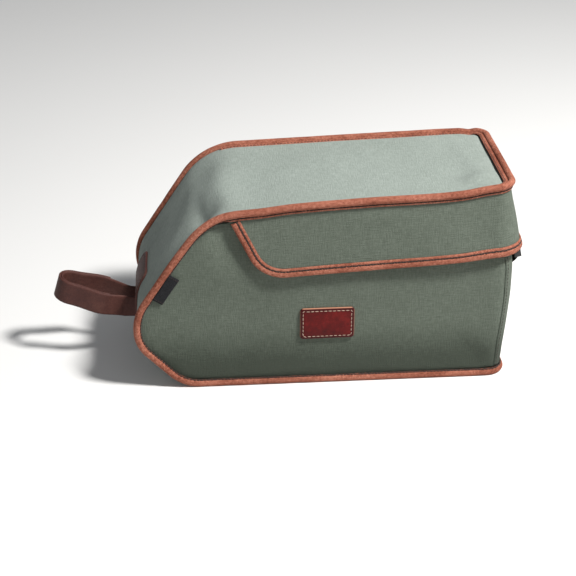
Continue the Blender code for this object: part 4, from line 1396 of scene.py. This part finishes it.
def makeSideTab():
    height = bag["height"] * tab["upShare"]
    low = Vector((noseX(height - tab["length"] * 0.4), 0.0, height - tab["length"] * 0.4))
    high = Vector((noseX(height + tab["length"] * 0.4), 0.0, height + tab["length"] * 0.4))
    up = (high - low).normalized()
    inward = Vector((up.z, 0.0, -up.x))
    seam = (low + high) / 2.0
    nearEdge = piping["radius"] + bag["gap"]
    face = bag["halfWidth"] + bag["gap"] * 2.0 + piping["flangeThickness"] + tab["thickness"]
    rows = []
    uvRows = []
    for k in range(25):
        along = tab["length"] * (k / 24.0 - 0.5)
        row = []
        uvRow = []
        for c in range(13):
            share = c / 12.0
            end = bell((abs(along) - tab["length"] / 2.0) / 0.0012) * 0.0004
            fold = bell((share - 1.0) / 0.10) * 0.0004
            spot = seam + up * along + inward * (nearEdge + tab["width"] * share)
            soft = wave(spot, 150.0, 3.0) * 0.00015
            row.append(Vector((spot.x, -face - soft + fold + end, spot.z)))
            uvRow.append((along, tab["width"] * share))
        rows.append(row)
        uvRows.append(uvRow)
    made = gridObject("sideTab", rows, uvRows, Vector((bag["length"] * 0.5, 0.0, halfHeight)))
    solidify(made, tab["thickness"])
    settle(made, blackWeb, ("side_tab",))
    ends = []
    for side in (-1.0, 1.0):
        start = seam + up * (side * (tab["length"] / 2.0 - 0.0022)) + inward * (nearEdge + 0.0008)
        path = []
        for k in range(9):
            spot = start + inward * ((tab["width"] - 0.0016) * k / 8.0)
            path.append((Vector((spot.x, -face, spot.z)), Vector((0.0, -1.0, 0.0))))
        ends.append(path)
    sewRow("tabStitches", ends, {
        "pitch": 0.0022,
        "length": 0.0017,
        "thread": 0.0005,
        "rise": 0.0003,
        "slant": 0.0,
        "material": darkThread,
    })


# strap round the seat post, with the leather piece that its ends are sewn to
strap = {
    "width": 0.024,
    "thickness": 0.0022,
    "tilt": math.radians(17.0),
    "reach": 0.0790,
    "rootHalf": 0.0140,
    "bellyHalf": 0.0215,
    "postRadius": 0.0165,
    "rootHeight": 0.0530,
    "overlap": 0.36,
}
anchor = {
    "halfWidth": 0.028,
    "bottom": 0.036,
    "top": 0.098,
    "thickness": 0.002,
    "corner": 0.006,
    "seam": 0.0030,
}


noseStations = stripStations()


def liftedStation(station, lift):  # the strip's outer face there, this far out
    x, z, nx, nz = station[:4]
    outwards = stripRise(z) + lift
    return Vector((x + nx * outwards, 0.0, z + nz * outwards))


def nosePoint(z, lift):
    stations = [s for s in noseStations if s[0] < bag["length"] * 0.3]
    for a, b in zip(stations, stations[1:]):
        if a[1] <= z <= b[1] and b[1] > a[1]:
            share = (z - a[1]) / (b[1] - a[1])
            point = liftedStation(a, lift).lerp(liftedStation(b, lift), share)
            return point, Vector((mix(a[2], b[2], share), 0.0, mix(a[3], b[3], share)))
    return Vector((0.0, 0.0, z)), Vector((-1.0, 0.0, 0.0))


def frontFace(z, lift):
    lifted = [liftedStation(s, lift) for s in noseStations]
    faces = [(p.x, p.z) for p in lifted]
    for a, b in zip(faces, faces[1:]):
        if a[1] <= z <= b[1] and b[1] > a[1]:
            return mix(a[0], b[0], (z - a[1]) / (b[1] - a[1]))
    return faces[0][0]


def anchorPoint(y, up, lift):
    z = mix(anchor["bottom"], anchor["top"], 0.5) + up
    point, out = nosePoint(z, lift)
    return Vector((point.x, y, point.z)), out


def makeStrapAnchor():
    half = (anchor["halfWidth"], (anchor["top"] - anchor["bottom"]) / 2.0)
    base = evenSteps(ringOutline(2.0 * half[0], 2.0 * half[1], anchor["corner"]), 0.003)
    rings = ((0.0, 0.0), (0.0, 0.7), (0.0005, 0.97), (0.0016, 1.0), (0.0030, 0.93), (0.0044, 1.0))
    shares = [(1.0, ring) for ring in rings] + [(1.0 - k / 10.0, (rings[-1][0], 1.0)) for k in range(1, 11)]
    rows = []
    uvRows = []
    for share, (inset, height) in shares:
        row = []
        uvRow = []
        for y, up in base + base[:1]:
            sy = y * (1.0 - inset / half[0]) * share
            su = up * (1.0 - inset / half[1]) * share
            row.append(anchorPoint(sy, su, bag["gap"] + anchor["thickness"] * height)[0])
            uvRow.append((sy, su))
        rows.append(row)
        uvRows.append(uvRow)
    made = gridObject("strapAnchor", rows, uvRows, Vector((bag["length"] * 0.5, 0.0, halfHeight)))
    settle(made, strapBrown, ("strap_anchor",))
    sewn = ringOutline(2.0 * half[0], 2.0 * half[1], anchor["corner"], anchor["seam"])
    line = evenSteps(sewn, 0.0015)
    path = [anchorPoint(y, up, bag["gap"] + anchor["thickness"] * 0.95) for y, up in line]
    sewRow("anchorStitches", [path + path[:1]], {
        "pitch": 0.0042,
        "length": 0.0032,
        "thread": 0.0008,
        "rise": 0.0005,
        "slant": 0.0,
        "material": darkThread,
    })


def strapHalf(reach):
    hub = strap["reach"] - strap["postRadius"]
    if reach < hub * 0.5:
        return mix(strap["rootHalf"], strap["bellyHalf"], ease(reach / (hub * 0.5)))
    return mix(strap["bellyHalf"], strap["postRadius"], ease((reach - hub * 0.5) / (hub * 0.5)))


def strapPath(inset):
    hub = strap["reach"] - strap["postRadius"]
    cuts = [hub * k / 28.0 for k in range(29)]
    run = [(reach, inset - strapHalf(reach)) for reach in cuts]
    radius = strap["postRadius"] - inset
    bow = []
    for k in range(1, 30):
        angle = math.pi * k / 30.0
        bow.append((hub + radius * math.sin(angle), -radius * math.cos(angle)))
    return run + bow + [(reach, -side) for reach, side in reversed(run) if reach >= hub * strap["overlap"]]


strapForward = Vector((-math.cos(strap["tilt"]), 0.0, math.sin(strap["tilt"])))
strapUp = Vector((math.sin(strap["tilt"]), 0.0, math.cos(strap["tilt"])))
rootGap = bag["gap"] * 2.0 + anchor["thickness"]
strapStart = strap["width"] * math.sin(strap["tilt"]) + rootGap
strapRoot = Vector((frontFace(strap["rootHeight"], strapStart), 0.0, strap["rootHeight"]))


def makeStrap(name, node, inset, side):
    places = [strapRoot + strapForward * reach + Vector((0.0, sideways * side, 0.0))
              for reach, sideways in strapPath(inset)]
    half = strap["thickness"] / 2.0
    edge = strap["width"] / 2.0
    # the band's section: rounded burnished edges and slightly crowned faces
    section = []
    for k in range(13):
        crown = 1.0 + 0.06 * math.cos(math.pi * (k / 6.0 - 1.0) / 2.0)
        section.append((half * crown - 0.00006, mix(-edge + 0.0007, edge - 0.0007, k / 12.0)))
    section += [(half - 0.0005, edge - 0.0001), (0.0, edge), (-half + 0.0005, edge - 0.0001)]
    for k in range(13):
        section.append((-half, mix(edge - 0.0007, -edge + 0.0007, k / 12.0)))
    section += [(-half + 0.0005, -edge + 0.0001), (0.0, -edge), (half - 0.0005, -edge + 0.0001)]
    rows = []
    uvRows = []
    run = 0.0
    for i, place in enumerate(places):
        way = (places[min(i + 1, len(places) - 1)] - places[max(i - 1, 0)]).normalized()
        across = way.cross(strapUp).normalized()
        if i:
            run += (place - places[i - 1]).length
        soft = wave(place, 55.0, side * 3.0) * 0.0004 * ease(run / 0.02)
        row = []
        uvRow = []
        for a, b in section + section[:1]:
            point = place + across * a + strapUp * b + Vector((0.0, soft, 0.0))
            if i == 0:
                point.x = frontFace(point.z, rootGap)
            row.append(point)
            uvRow.append((run, b))
        rows.append(row)
        uvRows.append(uvRow)
    made = gridObject(name, rows, uvRows)
    shape = bmesh.new()
    shape.from_mesh(made.data)
    bmesh.ops.holes_fill(shape, edges=[e for e in shape.edges if len(e.link_faces) == 1], sides=0)
    bmesh.ops.recalc_face_normals(shape, faces=shape.faces)
    shape.to_mesh(made.data)
    shape.free()
    made.data.shade_smooth()
    made.data.set_sharp_from_angle(angle=math.radians(45.0))
    settle(made, strapBrown, (node,))
    rowsOut = []
    for height in (edge - 0.0026, -edge + 0.0026):
        path = []
        for i, place in enumerate(places[2:]):
            way = (places[min(i + 3, len(places) - 1)] - places[i + 1]).normalized()
            across = way.cross(strapUp).normalized() * side
            path.append((place + across * (half + 0.00005) + strapUp * height, across))
        rowsOut.append(path)
    return rowsOut


outerRows = makeStrap("strapOuter", "strap_outer", strap["thickness"] / 2.0, 1.0)
makeStrap("strapInner", "strap_inner", strap["thickness"] * 1.5 + bag["gap"], -1.0)
sewRow("strapStitches", outerRows, {
    "pitch": 0.0038,
    "length": 0.0029,
    "thread": 0.0007,
    "rise": 0.0004,
    "slant": 0.0,
    "material": darkThread,
})
makeSidePatch()
makeSideTab()
makeStrapAnchor()
print("leather and tab made")


# rear seams
rearWelt = {"width": 0.0058, "thickness": 0.0009}


def makeRearSeam(name, side):
    rim = seamHeight(bag["length"]) - bodyLook["rimDrop"]
    low = piping["radius"] + piping["flange"] + 0.001
    rows = []
    uvRows = []
    stitches = []
    for k in range(61):
        z = mix(low, rim - 0.004, k / 60.0)
        row = []
        uvRow = []
        for c in range(9):
            share = c / 8.0 - 0.5
            lift = bag["gap"] * 0.3 + rearWelt["thickness"] * (1.0 - (abs(share) * 2.0) ** 6)
            drift = wave(Vector((0.0, 0.0, z)), 60.0, 3.0) * 0.0003
            along = rearSeam(z) + rearWelt["width"] * share + drift
            point = wallPoint(along, z, 0.0, lift)
            row.append(mirrored(point) if side > 0.0 else point)
            uvRow.append((along, z))
        rows.append(row)
        uvRows.append(uvRow)
        point = wallPoint(rearSeam(z) - 0.0008, z, 0.0, rearWelt["thickness"] + 0.0001)
        out = wallPoint(rearSeam(z) - 0.0008, z, 0.0, 0.01) - wallPoint(rearSeam(z) - 0.0008, z, 0.0, 0.0)
        pair = (point, out.normalized())
        stitches.append((mirrored(pair[0]), mirrored(pair[1])) if side > 0.0 else pair)
    made = gridObject(name, rows, uvRows, Vector((bag["length"] * 0.5, 0.0, halfHeight)))
    settle(made, canvas)
    return stitches


seamPaths = [makeRearSeam("rearSeamLeft", -1.0), makeRearSeam("rearSeamRight", 1.0)]
sewRow("rearSeamStitches", seamPaths, {
    "pitch": 0.0038,
    "length": 0.0030,
    "thread": 0.0008,
    "rise": 0.0005,
    "slant": 0.0,
    "material": darkThread,
})


# buckle and webbing on the rear
webbing = {"width": 0.020, "thickness": 0.0014, "start": 0.034, "end": 0.045, "stepUp": 0.004}
buckle = {"width": 0.030, "thickness": 0.0072, "male": 0.012, "female": 0.026, "gap": 0.002}


def rearLine():
    top = Vector((bag["length"] - bodyLook["setBack"], 0.0, seamHeight(bag["length"]) - seamTop))
    drop = skirt["drop"] - seamTop
    down = Vector((skirt["rearFlare"], 0.0, -drop)).normalized()
    return top, down, Vector((-down.z, 0.0, down.x)), math.hypot(skirt["rearFlare"], drop)


lineTop, lineDown, lineOut, lineLength = rearLine()


def bandObject(name, node, places, outs):
    half = webbing["width"] / 2.0
    thick = webbing["thickness"] / 2.0
    section = [(thick, mix(-half + 0.0006, half - 0.0006, k / 8.0)) for k in range(9)]
    section += [(thick * 0.4, half), (-thick * 0.4, half)]
    section += [(-thick, mix(half - 0.0006, -half + 0.0006, k / 8.0)) for k in range(9)]
    section += [(-thick * 0.4, -half), (thick * 0.4, -half)]
    frames = [(place, out, Vector((0.0, 1.0, 0.0))) for place, out in zip(places, outs)]
    made = sweepObject(name, frames, section, False)
    return settle(made, blackWeb, (node,))


def finePath(points, step=0.002):
    finer = [points[0]]
    for a, b in zip(points, points[1:]):
        cuts = max(1, math.ceil((b - a).length / step))
        finer += [a.lerp(b, k / cuts) for k in range(1, cuts + 1)]
    return finer


def makeWebbing():
    low = bag["gap"] + webbing["thickness"] / 2.0
    high = low + bag["gap"] + binding["thickness"]
    raised = lineLength - binding["width"] - bag["gap"] * 4.0
    marks = ((webbing["start"], low), (raised - webbing["stepUp"], low), (raised, high))
    marks += ((lineLength + buckle["gap"], high),)
    places = finePath([lineTop + lineDown * along + lineOut * lift for along, lift in marks])
    bandObject("webbingUpper", "webbing_upper", places, [lineOut] * len(places))
    middle = bag["gap"] * 2.0 + binding["thickness"] + webbing["thickness"] / 2.0
    end = lineLength + buckle["gap"] + buckle["male"] + buckle["female"] + bag["gap"] * 3.0
    first = lineTop + lineDown * end + lineOut * middle
    rest = bag["gap"] + webbing["thickness"] / 2.0
    landing = first.z - webbing["width"]
    places = [first]
    for k in range(1, 13):
        z = mix(first.z, landing, k / 12.0)
        places.append(Vector((mix(first.x, wallRear(z) + rest, ease(k / 12.0)), 0.0, z)))
    for k in range(1, 13):
        z = mix(landing, webbing["end"], k / 12.0)
        places.append(Vector((wallRear(z) + rest, 0.0, z)))
    outs = [lineOut]
    for i in range(1, len(places)):
        way = (places[min(i + 1, len(places) - 1)] - places[i - 1]).normalized()
        outs.append(Vector((-way.z, 0.0, way.x)))
    bandObject("webbingLower", "webbing_lower", places, outs)
    box = []
    half = webbing["width"] / 2.0 - 0.002
    face = low + webbing["thickness"] / 2.0
    corners = [(webbing["start"] + 0.002, -half), (webbing["start"] + 0.002, half),
               (webbing["start"] + 0.014, half), (webbing["start"] + 0.014, -half)]
    ring = evenSteps(corners, 0.001)
    start = lineTop + lineOut * face
    box.append([(start + lineDown * a + Vector((0.0, b, 0.0)), lineOut) for a, b in ring + ring[:1]])
    lowBox = evenSteps([(0.002, -half), (0.002, half), (0.014, half), (0.014, -half)], 0.001)
    foot = places[-1]
    path = []
    for a, b in lowBox + lowBox[:1]:
        z = foot.z + a
        x = wallRear(z) + rest + webbing["thickness"] / 2.0
        path.append((Vector((x, b, z)), Vector((1.0, 0.0, 0.0))))
    box.append(path)
    sewRow("webbingStitches", box, {
        "pitch": 0.0026,
        "length": 0.0020,
        "thread": 0.0006,
        "rise": 0.0004,
        "slant": 0.0,
        "material": darkThread,
    })


def plateObject(name, plan, low, high, first, size, middle):
    # a moulded plate drawn on the buckle's face: across the bag, along the webbing, from low to high
    shape = bmesh.new()
    base = []
    for across, along in plan:
        place = lineTop + lineDown * (lineLength + first + along * size) + lineOut * (middle + low)
        base.append(shape.verts.new(settled(Vector((place.x, across * buckle["width"], place.z)))))
    face = shape.faces.new(base)
    grown = bmesh.ops.extrude_face_region(shape, geom=[face])
    raised = [v for v in grown["geom"] if isinstance(v, bmesh.types.BMVert)]
    bmesh.ops.translate(shape, vec=lineOut * (high - low), verts=raised)
    bmesh.ops.recalc_face_normals(shape, faces=shape.faces)
    mesh = bpy.data.meshes.new(name)
    shape.to_mesh(mesh)
    shape.free()
    return newObject(name, mesh)


def carve(body, tool):
    cut = body.modifiers.new("cut", "BOOLEAN")
    cut.operation = "DIFFERENCE"
    cut.solver = "EXACT"
    cut.object = tool


def joinMesh(body, others):
    graph = bpy.context.evaluated_depsgraph_get()
    mesh = bpy.data.meshes.new_from_object(body.evaluated_get(graph))
    old = body.data
    body.modifiers.clear()
    body.data = mesh
    bpy.data.meshes.remove(old)
    for other in others:
        bpy.data.objects.remove(other)
    return body


def makeBuckle():
    middle = bag["gap"] * 2.0 + binding["thickness"] + webbing["thickness"] / 2.0
    half = buckle["thickness"] / 2.0
    maleHalf = half * 0.74
    first = buckle["gap"] + bag["gap"]
    second = first + buckle["male"] + bag["gap"]
    male = ((-0.40, 0.0), (0.40, 0.0), (0.43, 0.35), (0.43, 1.0), (-0.43, 1.0), (-0.43, 0.35))
    body = plateObject("buckleMale", male, -maleHalf, maleHalf, first, buckle["male"], middle)
    slots = []
    for low, high in ((0.20, 0.34), (0.52, 0.66)):
        slot = ((-0.35, low), (0.35, low), (0.35, high), (-0.35, high))
        slots.append(plateObject("slot", slot, maleHalf * 0.35, half * 1.5, first, buckle["male"], middle))
    for slot in slots:
        carve(body, slot)
    joinMesh(body, slots)
    bevel(body, 0.0006, 3)
    body.data.shade_smooth()
    settle(body, blackPlastic, ("buckle_male",))
    female = (
        (-0.47, 0.0), (0.47, 0.0), (0.50, 0.05), (0.50, 0.14), (0.475, 0.20), (0.43, 0.26), (0.42, 0.38),
        (0.43, 0.50), (0.475, 0.57), (0.50, 0.63), (0.485, 0.82), (0.44, 1.0), (-0.44, 1.0), (-0.485, 0.82),
        (-0.50, 0.63), (-0.475, 0.57), (-0.43, 0.50), (-0.42, 0.38), (-0.43, 0.26), (-0.475, 0.20),
        (-0.50, 0.14), (-0.50, 0.05),
    )
    shell = plateObject("buckleFemale", female, -half, half, second, buckle["female"], middle)
    cutters = []
    window = ((-0.20, 0.16), (0.20, 0.16), (0.24, 0.40), (0.15, 0.58), (-0.15, 0.58), (-0.24, 0.40))
    size = buckle["female"]
    cutters.append(plateObject("window", window, half * 0.72, half * 1.5, second, size, middle))
    for side in (-1.0, 1.0):
        grip = ((side * 0.60, 0.24), (side * 0.30, 0.24), (side * 0.30, 0.54), (side * 0.60, 0.54))
        cutters.append(plateObject("grip", grip, -half * 0.35, half * 0.35, second, size, middle))
    for low, high in ((0.70, 0.755), (0.84, 0.895)):
        slot = ((-0.36, low), (0.36, low), (0.36, high), (-0.36, high))
        cutters.append(plateObject("slot", slot, half * 0.2, half * 1.5, second, size, middle))
    for cutter in cutters:
        carve(shell, cutter)
    joinMesh(shell, cutters)
    bevel(shell, 0.0005, 3)
    shell.data.shade_smooth()
    settle(shell, blackPlastic, ("buckle_female",))


makeWebbing()
makeBuckle()
print("webbing and buckle made")


# floor, light and camera
studio = {
    "floor": (0.80, 0.795, 0.785),
    "sky": (0.93, 0.96, 1.0),
    "skyStrength": 0.25,
    "reach": 6.0,
}


def makeFloor():
    mesh = bpy.data.meshes.new("floor")
    reach = studio["reach"]
    corners = ((-reach, -reach, 0.0), (reach, -reach, 0.0), (reach, reach, 0.0), (-reach, reach, 0.0))
    mesh.from_pydata(corners, [], [(0, 1, 2, 3)])
    made = newObject("floor", mesh)
    paint = Paint("paleFloor", {"Specular IOR Level": 0.2, "Roughness": 0.85})
    cloud = paint.noise(paint.objectPlace(), 3.0, 3.0)
    light = tuple(value * 1.02 for value in studio["floor"])
    mesh.materials.append(paint.done(colour=paint.blend(cloud, studio["floor"], light)))


def makeLight(name, place, size, power, colour, aim=(0.0, 0.0, 0.1)):
    data = bpy.data.lights.new(name, "AREA")
    data.shape = "RECTANGLE"
    data.size, data.size_y = size
    data.energy = power
    data.color = colour
    made = bpy.data.objects.new(name, data)
    bpy.context.scene.collection.objects.link(made)
    made.location = place
    made.rotation_mode = "QUATERNION"
    made.rotation_quaternion = (Vector(aim) - Vector(place)).to_track_quat("-Z", "Y")


def makeSky():
    world = bpy.data.worlds.new("sky")
    world.use_nodes = True
    back = world.node_tree.nodes["Background"]
    back.inputs[0].default_value = (*studio["sky"], 1.0)
    back.inputs[1].default_value = studio["skyStrength"]
    bpy.context.scene.world = world


def makeCamera():
    # the photograph's angle: turned a little towards the nose and looking down at the lid
    view = {"turn": -4.33, "down": 27.81, "lens": 92.36, "distance": 1.57, "aim": (0.0004, 0.0, 0.0649)}
    turn = math.radians(view["turn"])
    down = math.radians(view["down"])
    back = Vector((math.sin(turn) * math.cos(down), -math.cos(turn) * math.cos(down), math.sin(down)))
    data = bpy.data.cameras.new("camera")
    data.sensor_width = 36.0
    data.lens = view["lens"]
    made = bpy.data.objects.new("camera", data)
    bpy.context.scene.collection.objects.link(made)
    made.location = Vector(view["aim"]) + back * view["distance"]
    made.rotation_mode = "QUATERNION"
    made.rotation_quaternion = (-back).to_track_quat("-Z", "Y")
    bpy.context.scene.camera = made


makeFloor()
makeSky()
makeLight("overhead", (0.95, -0.62, 1.70), (0.30, 0.30), 64.0, (1.0, 0.99, 0.97))
makeLight("front", (-0.9, -1.9, 0.9), (1.2, 1.0), 1.0, (0.97, 0.98, 1.0))
makeCamera()
bpy.context.scene.view_settings.view_transform = "Standard"

print("scene ready")
